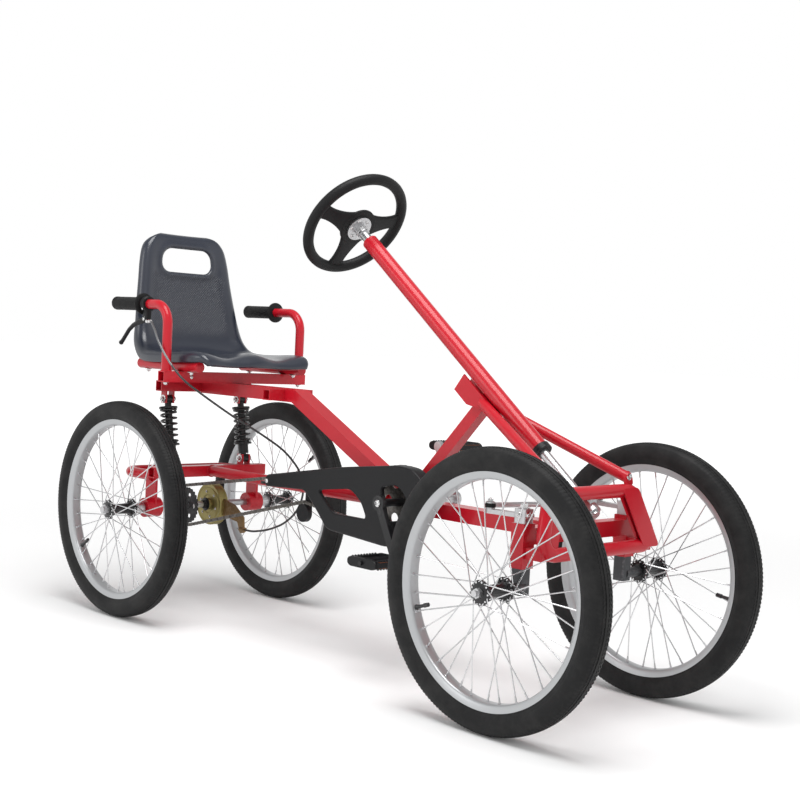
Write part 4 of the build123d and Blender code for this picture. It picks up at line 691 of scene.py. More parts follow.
@dataclass(frozen=True)
class Finish:
    """One surface finish and the numbers that make it."""

    skin: Skin
    color: Color
    roughness: float
    metallic: float = 0.0
    coat: float = 0.0
    coat_roughness: float = 0.05
    specular: float = 0.5
    tone: float = 0.15
    tone_scale: float = 14.0
    relief: Relief = Relief.EVEN
    grain_scale: float = 500.0
    grain_depth: float = 0.0
    worn: Color = (0.8, 0.8, 0.8)
    wear: float = 0.0
    dust: float = 0.0
    glow: float = 0.0

    def build(self, effects: Effects) -> bpy.types.Material:
        """Makes the material.

        Args:
            effects: the shared node groups.

        Returns:
            The material.
        """
        made = bpy.data.materials.new(self.skin.value)
        made.use_nodes = True
        tree = made.node_tree
        surface = tree.nodes["Principled BSDF"]
        surface.inputs["Coat Roughness"].default_value = self.coat_roughness
        surface.inputs["Coat Weight"].default_value = self.coat
        surface.inputs["Metallic"].default_value = self.metallic
        surface.inputs["Specular IOR Level"].default_value = self.specular
        tone = wire(tree, "Group", node_tree=effects.tone)
        tone.inputs["Color"].default_value = (*self.color, 1)
        tone.inputs["Amount"].default_value = self.tone
        tone.inputs["Scale"].default_value = self.tone_scale
        tone.inputs["Roughness"].default_value = self.roughness
        source = tone.outputs["Color"]
        if self.wear:
            worn = wire(tree, "Group", node_tree=effects.wear)
            tree.links.new(source, worn.inputs["Color"])
            worn.inputs["Worn"].default_value = (*self.worn, 1)
            worn.inputs["Amount"].default_value = self.wear
            source = worn.outputs["Color"]
        if self.dust:
            dusty = wire(tree, "Group", node_tree=effects.dust)
            tree.links.new(source, dusty.inputs["Color"])
            dusty.inputs["Amount"].default_value = self.dust
            source = dusty.outputs["Color"]
        tree.links.new(source, surface.inputs["Base Color"])
        tree.links.new(tone.outputs["Roughness"], surface.inputs["Roughness"])
        if self.glow:
            surface.inputs["Emission Color"].default_value = (*self.color, 1)
            surface.inputs["Emission Strength"].default_value = self.glow
        if self.grain_depth:
            self.add_relief(tree, surface, effects)
        return made

    def add_relief(self, tree: bpy.types.NodeTree, surface: bpy.types.Node, effects: Effects) -> None:
        """Adds the finish's fine relief to its shader.

        Args:
            tree: the material's tree.
            surface: its shader.
            effects: the shared node groups.
        """
        grain = wire(tree, "Group", node_tree=effects.grain)
        grain.inputs["Scale"].default_value = self.grain_scale
        drawn = BRUSH_STRETCH if self.relief is Relief.BRUSHED else 1
        grain.inputs["Stretch"].default_value = (1, drawn, 1)
        bump = wire(tree, "Bump", {"Height": grain.outputs["Height"], "Distance": self.grain_depth,
                                   "Strength": 1.0})
        if self.relief is Relief.SCALES:
            panel = wire(tree, "Group", node_tree=effects.scales)
            bump = wire(tree, "Bump", {"Height": panel.outputs["Height"], "Distance": SCALE_DEPTH,
                                       "Strength": 1.0, "Normal": bump.outputs["Normal"]})
        tree.links.new(bump.outputs["Normal"], surface.inputs["Normal"])


FINISHES = (
    Finish(Skin.RED_PAINT, (0.48, 0.005, 0.016), 0.34, coat=0.3, coat_roughness=0.1, specular=0.25,
           tone=0.03, grain_scale=700, grain_depth=0.00003, worn=(0.62, 0.12, 0.12), wear=0.12),
    Finish(Skin.BLACK_PAINT, (0.008, 0.008, 0.009), 0.34, coat=0.15, specular=0.3, tone=0.08,
           grain_scale=260, grain_depth=0.0002, worn=(0.2, 0.2, 0.2), wear=0.25),
    Finish(Skin.TYRE, (0.009, 0.009, 0.0095), 0.6, specular=0.22, tone=0.08, tone_scale=9, grain_scale=700,
           grain_depth=0.0003, worn=(0.06, 0.06, 0.06), wear=0.3, dust=0.03),
    Finish(Skin.RIM, (0.45, 0.46, 0.47), 0.34, metallic=0.6, tone=0.04, relief=Relief.BRUSHED,
           grain_scale=90, grain_depth=0.0001, worn=(0.9, 0.9, 0.9), wear=0.2),
    Finish(Skin.SPOKE, (0.66, 0.66, 0.67), 0.22, metallic=1.0, tone=0.05),
    Finish(Skin.HUB, (0.007, 0.007, 0.008), 0.24, coat=0.3, specular=0.3, tone=0.08, grain_scale=300,
           grain_depth=0.0001, worn=(0.3, 0.3, 0.31), wear=0.4),
    Finish(Skin.ZINC, (0.55, 0.55, 0.56), 0.3, metallic=0.95, tone=0.08, tone_scale=40,
           relief=Relief.BRUSHED, grain_scale=160, grain_depth=0.0001, worn=(0.8, 0.8, 0.8), wear=0.4),
    Finish(Skin.BOLT, (0.68, 0.68, 0.68), 0.25, metallic=1.0, tone=0.08, tone_scale=60),
    Finish(Skin.STEEL, (0.06, 0.062, 0.066), 0.4, metallic=0.6, tone=0.15, tone_scale=30, grain_scale=260,
           grain_depth=0.0002, worn=(0.35, 0.35, 0.36), wear=0.5),
    Finish(Skin.SPRING, (0.008, 0.008, 0.009), 0.28, coat=0.35, tone=0.08),
    Finish(Skin.BRACKET, (0.2, 0.12, 0.05), 0.35, metallic=0.75, tone=0.25, tone_scale=30,
           worn=(0.5, 0.4, 0.3), wear=0.4),
    Finish(Skin.GOLD, (0.3, 0.25, 0.085), 0.36, metallic=0.7, tone=0.25, tone_scale=26, grain_scale=240,
           grain_depth=0.0002, worn=(0.5, 0.46, 0.3), wear=0.4, dust=0.05),
    Finish(Skin.CHAIN, (0.13, 0.12, 0.11), 0.34, metallic=0.9, tone=0.3, tone_scale=60, grain_scale=300,
           grain_depth=0.0001, worn=(0.5, 0.48, 0.45), wear=0.6),
    Finish(Skin.PLASTIC, (0.008, 0.008, 0.009), 0.4, specular=0.22, tone=0.05, grain_scale=900,
           grain_depth=0.0002, worn=(0.06, 0.06, 0.065), wear=0.3),
    Finish(Skin.SEAT, (0.017, 0.021, 0.034), 0.3, coat=0.45, coat_roughness=0.2, specular=0.45, tone=0.05,
           relief=Relief.SCALES, grain_scale=900, grain_depth=0.0001, worn=(0.1, 0.105, 0.12), wear=0.2),
    Finish(Skin.GRIP, (0.007, 0.007, 0.0075), 0.5, specular=0.22, tone=0.08, grain_scale=900,
           grain_depth=0.0003),
    Finish(Skin.CABLE, (0.012, 0.012, 0.013), 0.3, coat=0.3, tone=0.08, grain_scale=400, grain_depth=0.0001),
    Finish(Skin.WIRE, (0.16, 0.165, 0.17), 0.35, metallic=0.5, tone=0.08, grain_scale=400,
           grain_depth=0.0001),
    Finish(Skin.REFLECTOR, (0.85, 0.2, 0.01), 0.12, coat=0.6, tone=0.3, tone_scale=200, glow=0.12,
           grain_scale=500, grain_depth=0.0008),
)

NODE_SKINS: dict[Skin, tuple[str, ...]] = {
    Skin.RED_PAINT: ("main_beam", "front_axle_tube", "front_loop", "front_braces", "steering_strut",
                     "column_tube", "column_bracket", "rear_carrier", "rear_loop", "swing_arm",
                     "pivot_plates", "seat_cross_tubes", "seat_rails", "armrest_left", "armrest_right"),
    Skin.ZINC: ("steering_shaft", "knuckle_left", "knuckle_right", "tie_rod_left", "tie_rod_right",
                "crank_arms", "rear_axle", "lower_bearing", "steering_hub_plate"),
    Skin.PLASTIC: ("column_bush", "guide_roller"),
    Skin.BLACK_PAINT: ("shock_left", "shock_right", "guard_stays", "sprocket", "brake_drum"),
    Skin.BRACKET: ("brake_arm",),
    Skin.CHAIN: ("chainring",),
    Skin.WIRE: ("brake_cable",),
}


@dataclass
class Wheel:
    """One spoked wheel: tyre with tread, alloy rim, crossed spokes, hub and valve."""

    place: str
    body: str
    valve_angle: float
    tyre_radius: float = 254.0
    rim_inner: float = 196.0
    spoke_count: int = 36
    spoke_radius: float = 1.25
    flange_half: float = 31.0
    flange_radius: float = 23.0
    spoke_lean: float = 62.0
    hole_inset: float = 3.5
    rim_inset: float = 3.0
    hub_half: float = 34.0
    tread_blocks: int = 192
    groove_depth: float = 1.5
    groove_lean: float = 2.4
    hollow_drop: float = 47.0

    def frame(self) -> Matrix:
        """The wheel's frame: Z along the axle, X forwards."""
        low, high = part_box(f"tyre_{self.place}")
        return stand((low + high) / 2, AXLE_AXIS)

    def tyre(self) -> Form:
        """The tyre: ribbed crown with sipes, shoulder blocks and smooth walls.

        Returns:
            The form.
        """
        half = [(0.0, 0.0, False), (3.0, 0.1, False), (3.4, 1.5, True), (4.8, 1.5, True), (5.2, 0.2, True),
                (10.0, 0.9, True), (10.4, 2.3, False), (11.8, 2.7, False), (12.2, 1.4, True),
                (17.6, 3.4, True), (20.8, 6.2, True), (21.6, 8.4, False), (23.4, 12.4, False),
                (24.6, 17.5, False), (25.0, 22.0, False), (24.8, 27.0, False), (24.0, 31.0, False),
                (23.6, 31.6, False), (22.2, 35.0, False), (20.0, 38.6, False), (18.6, 40.4, False),
                (18.4, 41.6, False), (17.2, 43.2, False)]
        hollow = [(12.0, self.hollow_drop, False), (-12.0, self.hollow_drop, False)]
        ring = [(-y, drop, block) for y, drop, block in reversed(half[1:])] + half + hollow
        profile = [(y, self.tyre_radius - drop) for y, drop, _ in ring]

        def sipes(number: int, step: int) -> float:
            """How far a point of the tread is let in.

            Args:
                number: the point's place in the profile.
                step: its step round the tyre.

            Returns:
                Millimetres to add to its radius.
            """
            y, _, block = ring[number]
            lean = int(abs(y) / self.groove_lean)
            return -self.groove_depth if block and (step + lean) % 3 == 0 else 0.0

        form = Form()
        form.lathe(profile, self.frame(), self.tread_blocks * 3, loop=True, reach=sipes)
        return form

    def rim(self) -> Form:
        """The box-section rim and its nipples.

        Returns:
            The form.
        """
        half = [(0.0, 0.0), (8.0, 0.2), (11.0, 1.0), (13.2, 3.6), (14.8, 8.0), (16.2, 12.0), (17.0, 14.5),
                (17.4, 16.6), (16.6, 17.6), (15.4, 16.8), (14.6, 13.0)]
        ring = [(-y, rise) for y, rise in reversed(half[1:])] + half
        profile = [(y, self.rim_inner + rise) for y, rise in ring]
        form = Form()
        frame = self.frame()
        form.lathe(profile, frame, 160, loop=True)
        nipple = [(-1.0, 2.9), (0.6, 2.9), (0.8, 1.9), (9.0, 1.6), (12.0, 1.4)]
        for number in range(self.spoke_count):
            start, end = self.spoke_ends(number)
            foot = (*(end.xy * (self.rim_inner / end.xy.length)), end.z)
            seat = stand(frame @ metres(foot), frame.to_3x3() @ (start - end))
            form.lathe(nipple, seat, 8, skin=1)
        return form

    def spoke_ends(self, number: int) -> tuple[Vector, Vector]:
        """Where a spoke leaves its flange and where it meets the rim.

        Args:
            number: the spoke's number.

        Returns:
            Both ends in the wheel's frame, in millimetres.
        """
        side = 1 if number % 2 else -1
        lean = 1 if (number // 2) % 2 else -1
        at_rim = FULL_TURN * number / self.spoke_count
        at_hub = at_rim + lean * math.radians(self.spoke_lean)
        root = self.flange_radius - self.hole_inset
        far = self.rim_inner - self.rim_inset
        start = Vector((root * math.cos(at_hub), root * math.sin(at_hub), side * self.flange_half))
        return start, Vector((far * math.cos(at_rim), far * math.sin(at_rim), side * self.rim_inset))

    def hub(self) -> Form:
        """The hub's shell with its notched flanges, the spokes and their heads.

        Returns:
            The form.
        """
        form = Form()
        frame = self.frame()
        barrel = [(-self.hub_half, 6.3), (-self.hub_half, 15.5), (-33.2, 17.0), (-33.0, 22.4), (-32.6, 23.0),
                  (-29.6, 23.0), (-29.2, 22.4), (-28.8, 17.0), (-25.0, 14.2), (-18.0, 12.6), (0.0, 12.0)]
        full = barrel + [(-height, radius) for height, radius in reversed(barrel[:-1])]
        edge = {number for number, (_, radius) in enumerate(full) if radius > self.flange_radius - 1.0}
        form.lathe(full, frame, 54, loop=True,
                   reach=lambda number, step: -1.3 if number in edge and step % 3 == 0 else 0.0)
        turn = frame.to_3x3()
        for number in range(self.spoke_count):
            start, end = self.spoke_ends(number)
            outward = UP * (1 if (number // 2) % 2 else -1)
            elbow = start + outward * 2.6
            head = stand(frame @ metres(start - outward * 2.2), turn @ outward)
            form.lathe([(-1.2, 0.8), (-0.8, 1.9), (0.2, 2.1), (0.6, 1.0)], head, 8, skin=1)
            along = (end - elbow).normalized()
            route = [start - outward * 2.0, start + outward * 1.4, elbow + along * 1.2, elbow + along * 6.0,
                     end]
            form.sweep([frame @ metres(point) for point in route], circle(self.spoke_radius, 7), skin=1)
        return form

    def valve(self) -> Form:
        """The rubber valve stem with its ribbed cap.

        Returns:
            The form.
        """
        frame = self.frame()
        angle = math.radians(self.valve_angle)
        out = Vector((math.cos(angle), math.sin(angle), 0.0))
        seat = stand(frame @ metres(out * (self.rim_inner + 1)), frame.to_3x3() @ -out)
        stem = [(0.0, 5.4), (2.0, 5.2), (5.0, 3.9), (20.0, 3.2), (20.4, 2.6), (21.6, 2.6)]
        cap = [(22.0, 4.1), (33.0, 3.9), (34.0, 3.0)]
        ribbed = range(len(stem), len(stem) + 2)
        form = Form()
        form.lathe(stem + cap, seat, 20,
                   reach=lambda number, step: 0.25 if number in ribbed and step % 2 else 0.0)
        return form

    def dress(self, shop: Workshop) -> None:
        """Makes the wheel's pieces.

        Args:
            shop: makes the pieces.
        """
        place, body = self.place, self.body
        shop.piece(f"Tyre_{place}", self.tyre(), body, [Skin.TYRE], [f"tyre_{place}"])
        shop.piece(f"Rim_{place}", self.rim(), body, [Skin.RIM, Skin.SPOKE], [f"rim_{place}"])
        shop.piece(f"Hub_{place}", self.hub(), body, [Skin.HUB, Skin.SPOKE], [f"hub_{place}"])
        shop.piece(f"Valve_{place}", self.valve(), body, [Skin.CABLE])


@dataclass
class ChainRun:
    """The roller chain round its two sprockets and over the guide roller."""

    line: float = -45.0
    pitch: float = 12.7
    # X and Z of each axis and the radius of the chain's line round it, negative where it bends back
    front: Spot = (*CRANK_AXIS, 72.86)
    rear: Spot = (-594.0, 254.0, 48.65)
    roller: Spot = (-148.0, 290.0, -24.4)
    plate_waist: float = 2.9
    plate_end: float = 4.1
    plate_thickness: float = 0.9
    inner_plates: float = 1.6
    outer_plates: float = 2.6
    roller_half: float = 1.5
    roller_radius: float = 3.9

    def spans(self) -> list[tuple[Vector, Vector, Vector, float, float, float]]:
        """The straight runs between the sprockets, each with the arc that follows it.

        Returns:
            For each run: its start, its end, the next sprocket's centre and signed radius, and the
            directions of the run and of the next one as angles.
        """
        stops = [self.front, self.rear, self.roller]
        angles = []
        for number, (x, z, radius) in enumerate(stops):
            nx, nz, next_radius = stops[(number + 1) % len(stops)]
            span = math.hypot(nx - x, nz - z)
            angles.append(math.atan2(nz - z, nx - x) - math.asin((next_radius - radius) / span))
        found = []
        for number, (x, z, radius) in enumerate(stops):
            after = (number + 1) % len(stops)
            nx, nz, next_radius = stops[after]
            normal = Vector((-math.sin(angles[number]), math.cos(angles[number])))
            start = Vector((x, z)) - normal * radius
            end = Vector((nx, nz)) - normal * next_radius
            found.append((start, end, Vector((nx, nz)), next_radius, angles[number], angles[after]))
        return found

    def route(self, step: float = 0.5) -> list[Vector]:
        """The chain's line.

        Args:
            step: millimetres between its points.

        Returns:
            Points close together, in millimetres of X and Z.
        """
        points: list[Vector] = []
        for start, end, centre, radius, heading, leaving in self.spans():
            length = (end - start).length
            points += [start.lerp(end, share * step / length) for share in range(int(length / step))]
            turn = (leaving - heading) % FULL_TURN
            if radius < 0:
                turn -= FULL_TURN
            steps = max(2, int(abs(turn * radius) / step))
            for share in range(steps):
                angle = heading + turn * share / steps
                points.append(centre - Vector((-math.sin(angle), math.cos(angle))) * radius)
        return points

    def pins(self) -> list[Vector]:
        """The chain's pins.

        Returns:
            An even number of points, evenly spaced, in millimetres of X and Z.
        """
        points = self.route()
        lengths = [0.0]
        for before, after in zip(points, points[1:] + points[:1]):
            lengths.append(lengths[-1] + (after - before).length)
        count = 2 * round(lengths[-1] / self.pitch / 2)
        found, index = [], 0
        for number in range(count):
            target = lengths[-1] * number / count
            while lengths[index + 1] < target:
                index += 1
            share = (target - lengths[index]) / max(lengths[index + 1] - lengths[index], 1e-9)
            found.append(points[index].lerp(points[(index + 1) % len(points)], share))
        return found

    def link_outline(self, span: float) -> list[Pair]:
        """A link plate's waisted outline.

        Args:
            span: the distance between its two pins.

        Returns:
            The outline from the first pin, in millimetres.
        """
        end = [(math.cos(angle), math.sin(angle)) for angle in (-1.9, -1.2, -0.6, 0.0, 0.6, 1.2, 1.9)]
        right = [(span + self.plate_end * x, self.plate_end * y) for x, y in end]
        left = [(-self.plate_end * x, -self.plate_end * y) for x, y in end]
        return right + [(span / 2, self.plate_waist)] + left + [(span / 2, -self.plate_waist)]

    def form(self) -> Form:
        """All links, inner and outer by turns, with their rollers and pins.

        Returns:
            The form.
        """
        form = Form()
        pins = self.pins()
        for number, pin in enumerate(pins):
            after = pins[(number + 1) % len(pins)]
            along = (after - pin).normalized()
            outline = self.link_outline((after - pin).length)
            offset = self.outer_plates if number % 2 else self.inner_plates
            half = self.plate_thickness / 2
            for side in (-1, 1):
                y = self.line + side * (offset + half) - half
                place = stand(metres((pin.x, y, pin.y)), AXLE_AXIS, Vector((along.x, 0.0, along.y)))
                form.prism(outline, place, self.plate_thickness)
            place = stand(metres((pin.x, self.line, pin.y)), AXLE_AXIS)
            roller = [(-self.roller_half, self.roller_radius), (self.roller_half, self.roller_radius)]
            form.lathe(roller, place, 10)
            form.lathe([(-4.1, 1.5), (-3.8, 1.8), (3.8, 1.8), (4.1, 1.5)], place, 8)
        return form

    def dress(self, shop: Workshop) -> None:
        """Makes the chain."""
        shop.piece("Roller_chain", self.form(), "frame", [Skin.CHAIN], ["chain"])


@dataclass
class SteeringWheel:
    """The padded wheel with three blended spokes, and the bolts of its hub plate."""

    place: Spot = (-55.0, 0.0, 916.0)
    rake: float = 38.0
    ring_radius: float = 116.0
    rim_radius: float = 11.7
    rim_lift: float = 22.0
    hub_level: float = 8.3
    hub_thickness: float = 9.5
    hub_radius: float = 43.0
    spoke_half: float = 14.5
    spoke_flare: float = 21.0
    spoke_toe: float = 9.0
    spoke_root: float = 18.0
    spoke_corner: float = 3.6
    spoke_tuck: float = 13.0
    spoke_stations: int = 18
    spoke_ways: tuple[float, ...] = (-12.0, 90.0, 192.0)
    bolt_circle: float = 22.0
    bolt_count: int = 6

    def down(self) -> Vector:
        """The direction down the column."""
        rake = math.radians(self.rake)
        return Vector((math.cos(rake), 0.0, -math.sin(rake)))

    def frame(self) -> Matrix:
        """The hub's frame: X to the rider's left, Z up the column."""
        return stand(metres(self.place), -self.down(), AXLE_AXIS)

    def wheel(self) -> Form:
        """The rim, its spokes and the boss with its cap.

        Returns:
            The form.
        """
        form = Form()
        frame = self.frame()
        ring = [(self.rim_lift + up, self.ring_radius + out) for out, up in circle(self.rim_radius, 20)]
        form.lathe(ring, frame, 112, loop=True)
        low, wide = self.hub_level, self.hub_radius
        top = low + self.hub_thickness
        boss = [(low, 14.0), (low, wide - 2), (low + 2, wide), (top - 3, wide), (top, wide - 4)]
        cap = [(top + 1, 24.0), (top + 5, 22.0), (top + 6.5, 17.0), (top + 7, 1.0)]
        form.lathe(boss + cap, frame, 72)
        for way in self.spoke_ways:
            out = Vector((math.cos(math.radians(way)), math.sin(math.radians(way)), 0.0))
            route = []
            for step in range(self.spoke_stations + 1):
                share = step / self.spoke_stations
                reach = self.spoke_root + (self.ring_radius - self.spoke_root) * share
                lift = (low + top) / 2 + (self.rim_lift - self.spoke_tuck) * share ** 1.4
                route.append(frame @ metres(out * reach + UP * lift))
            across = frame.to_3x3() @ Vector((-out.y, out.x, 0.0))
            form.sweep(route, self.spoke_section, side=across)
        return form

    def spoke_section(self, share: float) -> Profile:
        """The spoke's section at a share of its length: wide at the boss, flared again at the rim."""
        half = self.spoke_half + self.spoke_flare * (1 - share) ** 3 + self.spoke_toe * share ** 8
        return rounded_box(2 * half, self.hub_thickness, self.spoke_corner)

    def bolts(self) -> Form:
        """The screws of the hub plate, seen from the column's side, and the collar under it.

        Returns:
            The form.
        """
        form = Form()
        frame = self.frame()
        for x, y in circle(self.bolt_circle, self.bolt_count):
            pan_head(form, frame @ metres((x, y, 4.0)), self.down(), 3.9)
        collar = stand(frame @ metres((0.0, 0.0, -9.0)), -self.down())
        form.lathe([(-1.0, 14.6), (3.9, 14.6), (3.9, 12.0)], collar, 32)
        return form

    def dress(self, shop: Workshop) -> None:
        """Makes the wheel and its bolts.

        Args:
            shop: makes the pieces.
        """
        shop.piece("Steering_wheel", self.wheel(), "steering", [Skin.GRIP],
                   ["steering_wheel"])
        shop.piece("Steering_bolts", self.bolts(), "steering", [Skin.BOLT])


@dataclass(frozen=True)
class SeatStation:
    """One section across the seat: its middle's place, the way it runs, and its sizes in millimetres."""

    x: float
    z: float
    heading: float
    half_width: float
    wing: float
    corner: float
    dish: float
    channel: float
    recess: float


SEAT_STATIONS = (
    SeatStation(-731.0, 904.0, 78.0, 60.0, 14.0, 14.0, 1.0, 0.0, 0.0),
    SeatStation(-722.0, 916.5, 25.0, 76.0, 15.0, 15.0, 1.0, 0.0, 0.0),
    SeatStation(-708.0, 912.5, -50.0, 95.0, 16.0, 16.0, 1.5, 0.0, 0.0),
    SeatStation(-703.0, 902.0, -70.0, 108.0, 18.0, 17.0, 2.0, 0.0, 0.0),
    SeatStation(-699.0, 884.0, -79.0, 119.0, 21.0, 18.0, 3.0, 0.0, 1.0),
    SeatStation(-694.0, 850.0, -83.0, 127.0, 22.0, 18.0, 5.0, 0.0, 4.0),
    SeatStation(-687.0, 800.0, -82.0, 134.0, 22.0, 19.0, 7.0, 0.0, 5.0),
    SeatStation(-678.0, 748.0, -80.0, 142.0, 23.0, 20.0, 8.0, 0.0, 5.0),
    SeatStation(-667.0, 698.0, -77.0, 150.0, 24.0, 21.0, 9.0, 0.0, 4.0),
    SeatStation(-654.0, 660.0, -60.0, 159.0, 28.0, 22.0, 8.0, 0.0, 2.0),
    SeatStation(-630.0, 637.5, -21.0, 167.0, 30.0, 21.0, 6.0, 2.0, 0.0),
    SeatStation(-590.0, 630.5, -1.0, 171.0, 28.0, 19.0, 4.0, 5.0, 0.0),
    SeatStation(-520.0, 631.0, 1.0, 171.0, 27.0, 18.0, 3.0, 9.0, 0.0),
    SeatStation(-450.0, 634.0, 0.0, 168.0, 27.0, 17.0, 1.0, 12.0, 0.0),
    SeatStation(-408.0, 630.0, -22.0, 162.0, 23.0, 14.0, 1.0, 11.0, 0.0),
    SeatStation(-389.0, 616.0, -58.0, 153.0, 15.0, 10.0, 1.0, 8.0, 0.0),
    SeatStation(-384.0, 602.0, -84.0, 145.0, 10.0, 8.0, 1.0, 5.0, 0.0),
)


def eased_step(low: float, high: float, value: float) -> float:
    """A smooth rise from 0 at low to 1 at high."""
    share = min(max((value - low) / (high - low), 0.0), 1.0)
    return share * share * (3 - 2 * share)


@dataclass
class SeatShell:
    """The moulded seat: puffed edges, recessed back panel, thigh channels and a lipped hand slot."""

    stations: tuple[SeatStation, ...] = SEAT_STATIONS
    row_pitch: float = 5.0
    across: int = 52
    wall: float = 4.6
    slot_height: float = 853.0
    slot_half: Pair = (74.0, 29.0)
    slot_corner: float = 25.0
    slot_taper: float = 0.1
    lip: float = 4.5
    lip_reach: float = 9.0
    lip_crest: float = 5.0
    lip_turn_in: float = 3.0
    roll: float = 30.0
    roll_end: float = 4.0
    rim_steps: int = 7
    wing_steps: int = 3

    def __post_init__(self) -> None:
        """Measures the way down the seat's middle."""
        self.ways = [0.0]
        for before, after in zip(self.stations, self.stations[1:]):
            self.ways.append(self.ways[-1] + math.hypot(after.x - before.x, after.z - before.z))

    def station(self, way: float) -> SeatStation:
        """The smooth section at a distance down the seat.

        Args:
            way: the distance from the top edge in millimetres.

        Returns:
            The section there.
        """
        last = len(self.stations) - 2
        index = 0
        while index < last and self.ways[index + 1] < way:
            index += 1
        span = self.ways[index + 1] - self.ways[index]
        share = min(max((way - self.ways[index]) / span, 0.0), 1.0)
        picks = [max(index - 1, 0), index, index + 1, min(index + 2, last + 1)]
        columns = list(zip(*[tuple(vars(self.stations[pick]).values()) for pick in picks]))
        places = [self.ways[pick] for pick in picks]
        values = []
        for before, start, end, after in columns:
            rise_in = (end - before) / max(places[2] - places[0], 1e-6) * span
            rise_out = (after - start) / max(places[3] - places[1], 1e-6) * span
            square, cube = share ** 2, share ** 3
            values.append((2 * cube - 3 * square + 1) * start + (cube - 2 * square + share) * rise_in
                          + (3 * square - 2 * cube) * end + (cube - square) * rise_out)
        return SeatStation(*values)

    def slot_distance(self, y: float, way: float) -> float:
        """How far a point of the face lies outside the hand slot.

        Args:
            y: its distance from the middle.
            way: its distance down the seat.

        Returns:
            The distance in millimetres, below 0 inside the slot.
        """
        drop = way - self.slot_way()
        half_y = self.slot_half[0] - self.slot_taper * (self.slot_half[1] - drop)
        gap_y = abs(y) - half_y + self.slot_corner
        gap_way = abs(drop) - self.slot_half[1] + self.slot_corner
        outside = math.hypot(max(gap_y, 0.0), max(gap_way, 0.0))
        return outside + min(max(gap_y, gap_way), 0.0) - self.slot_corner

    def slot_way(self) -> float:
        """The distance down the seat of the slot's middle.

        Returns:
            That distance in millimetres.
        """
        for number, station in enumerate(self.stations[3:], 3):
            if station.z < self.slot_height:
                before = self.stations[number - 1]
                share = (before.z - self.slot_height) / (before.z - station.z)
                return self.ways[number - 1] + share * (self.ways[number] - self.ways[number - 1])
        return 0.0

    def face_point(self, y: float, way: float) -> Vector:
        """A point of the seat's face.

        Args:
            y: its distance from the middle in millimetres.
            way: its distance down the seat.

        Returns:
            The point in metres.
        """
        station = self.station(way)
        flat = station.half_width - station.corner
        share = min(abs(y) / flat, 1.0)
        edge = eased_step(flat - self.roll, flat - self.roll_end, abs(y))
        lift = -station.dish * (1 - share ** 2) - station.channel * math.sin(math.pi * share) ** 2
        lift -= station.recess * (1 - edge)
        gap = self.slot_distance(y, way)
        if gap < 3 * self.lip_reach:
            near = max(gap, 0.0)
            lift += self.lip * math.exp(-((near - self.lip_crest) / self.lip_reach) ** 2)
            lift -= self.lip_turn_in * math.exp(-(near / 2.5) ** 2)
        return self.out_point(station, y, lift)

    def out_point(self, station: SeatStation, y: float, lift: float) -> Vector:
        """A point of a section, from its place across and its height over the face."""
        turn = math.radians(station.heading)
        return metres((station.x - math.sin(turn) * lift, y, station.z + math.cos(turn) * lift))

    def row(self, way: float) -> list[tuple[float, Vector]]:
        """One line of points across the seat.

        Args:
            way: its distance down the seat.

        Returns:
            Each point with its distance from the middle.
        """
        station = self.station(way)
        flat = station.half_width - station.corner
        steps = self.across // 2
        spots = [flat * step / steps for step in range(1, steps + 1)]
        side = [(spot, self.face_point(spot, way)) for spot in spots]
        for step in range(1, self.rim_steps + 1):
            turn = math.pi / 2 * step / self.rim_steps
            y, lift = flat + station.corner * math.sin(turn), station.corner * (math.cos(turn) - 1)
            side.append((y, self.out_point(station, y, lift)))
        rest = max(station.wing - station.corner, 0.5)
        for step in range(1, self.wing_steps + 1):
            drop = -station.corner - rest * step / self.wing_steps
            side.append((station.half_width, self.out_point(station, station.half_width, drop)))
        mirrored = [(-y, Vector((point.x, -point.y, point.z))) for y, point in reversed(side)]
        return mirrored + [(0.0, self.face_point(0.0, way))] + side

    def form(self) -> Form:
        """The seat's face as one sheet with its slot cut out.

        Returns:
            The form.
        """
        count = int(self.ways[-1] / self.row_pitch)
        ways = [self.ways[-1] * number / count for number in range(count + 1)]
        rows = [self.row(way) for way in ways]
        width = len(rows[0])
        cut = [[self.slot_distance((rows[r][c][0] + rows[r][c + 1][0]) / 2, (ways[r] + ways[r + 1]) / 2) < 0
                for c in range(width - 1)] for r in range(count)]
        points = [[point for _, point in row] for row in rows]
        for r in range(1, count):
            for c in range(1, width - 1):
                around = {cut[r][c], cut[r - 1][c], cut[r][c - 1], cut[r - 1][c - 1]}
                if len(around) == 2:
                    points[r][c] = self.face_point(*self.on_slot(rows[r][c][0], ways[r]))
        form = Form()
        faces = [(r * width + c, r * width + c + 1, (r + 1) * width + c + 1, (r + 1) * width + c)
                 for r in range(count) for c in range(width - 1) if not cut[r][c]]
        used = sorted({index for face in faces for index in face})
        number = {index: place for place, index in enumerate(used)}
        form.add([points[index // width][index % width] for index in used],
                 [tuple(number[index] for index in face) for face in faces])
        return form

    def on_slot(self, y: float, way: float) -> tuple[float, float]:
        """The nearest point on the slot's outline, found in a few steps down its slope.

        Args:
            y: a point's distance from the middle.
            way: its distance down the seat.

        Returns:
            The same two distances of the point on the outline.
        """
        for _ in range(6):
            gap = self.slot_distance(y, way)
            slope = Vector((self.slot_distance(y + 0.5, way) - self.slot_distance(y - 0.5, way),
                            self.slot_distance(y, way + 0.5) - self.slot_distance(y, way - 0.5)))
            if slope.length < 1e-6:
                break
            y -= gap * slope.x / slope.length
            way -= gap * slope.y / slope.length
        return y, way

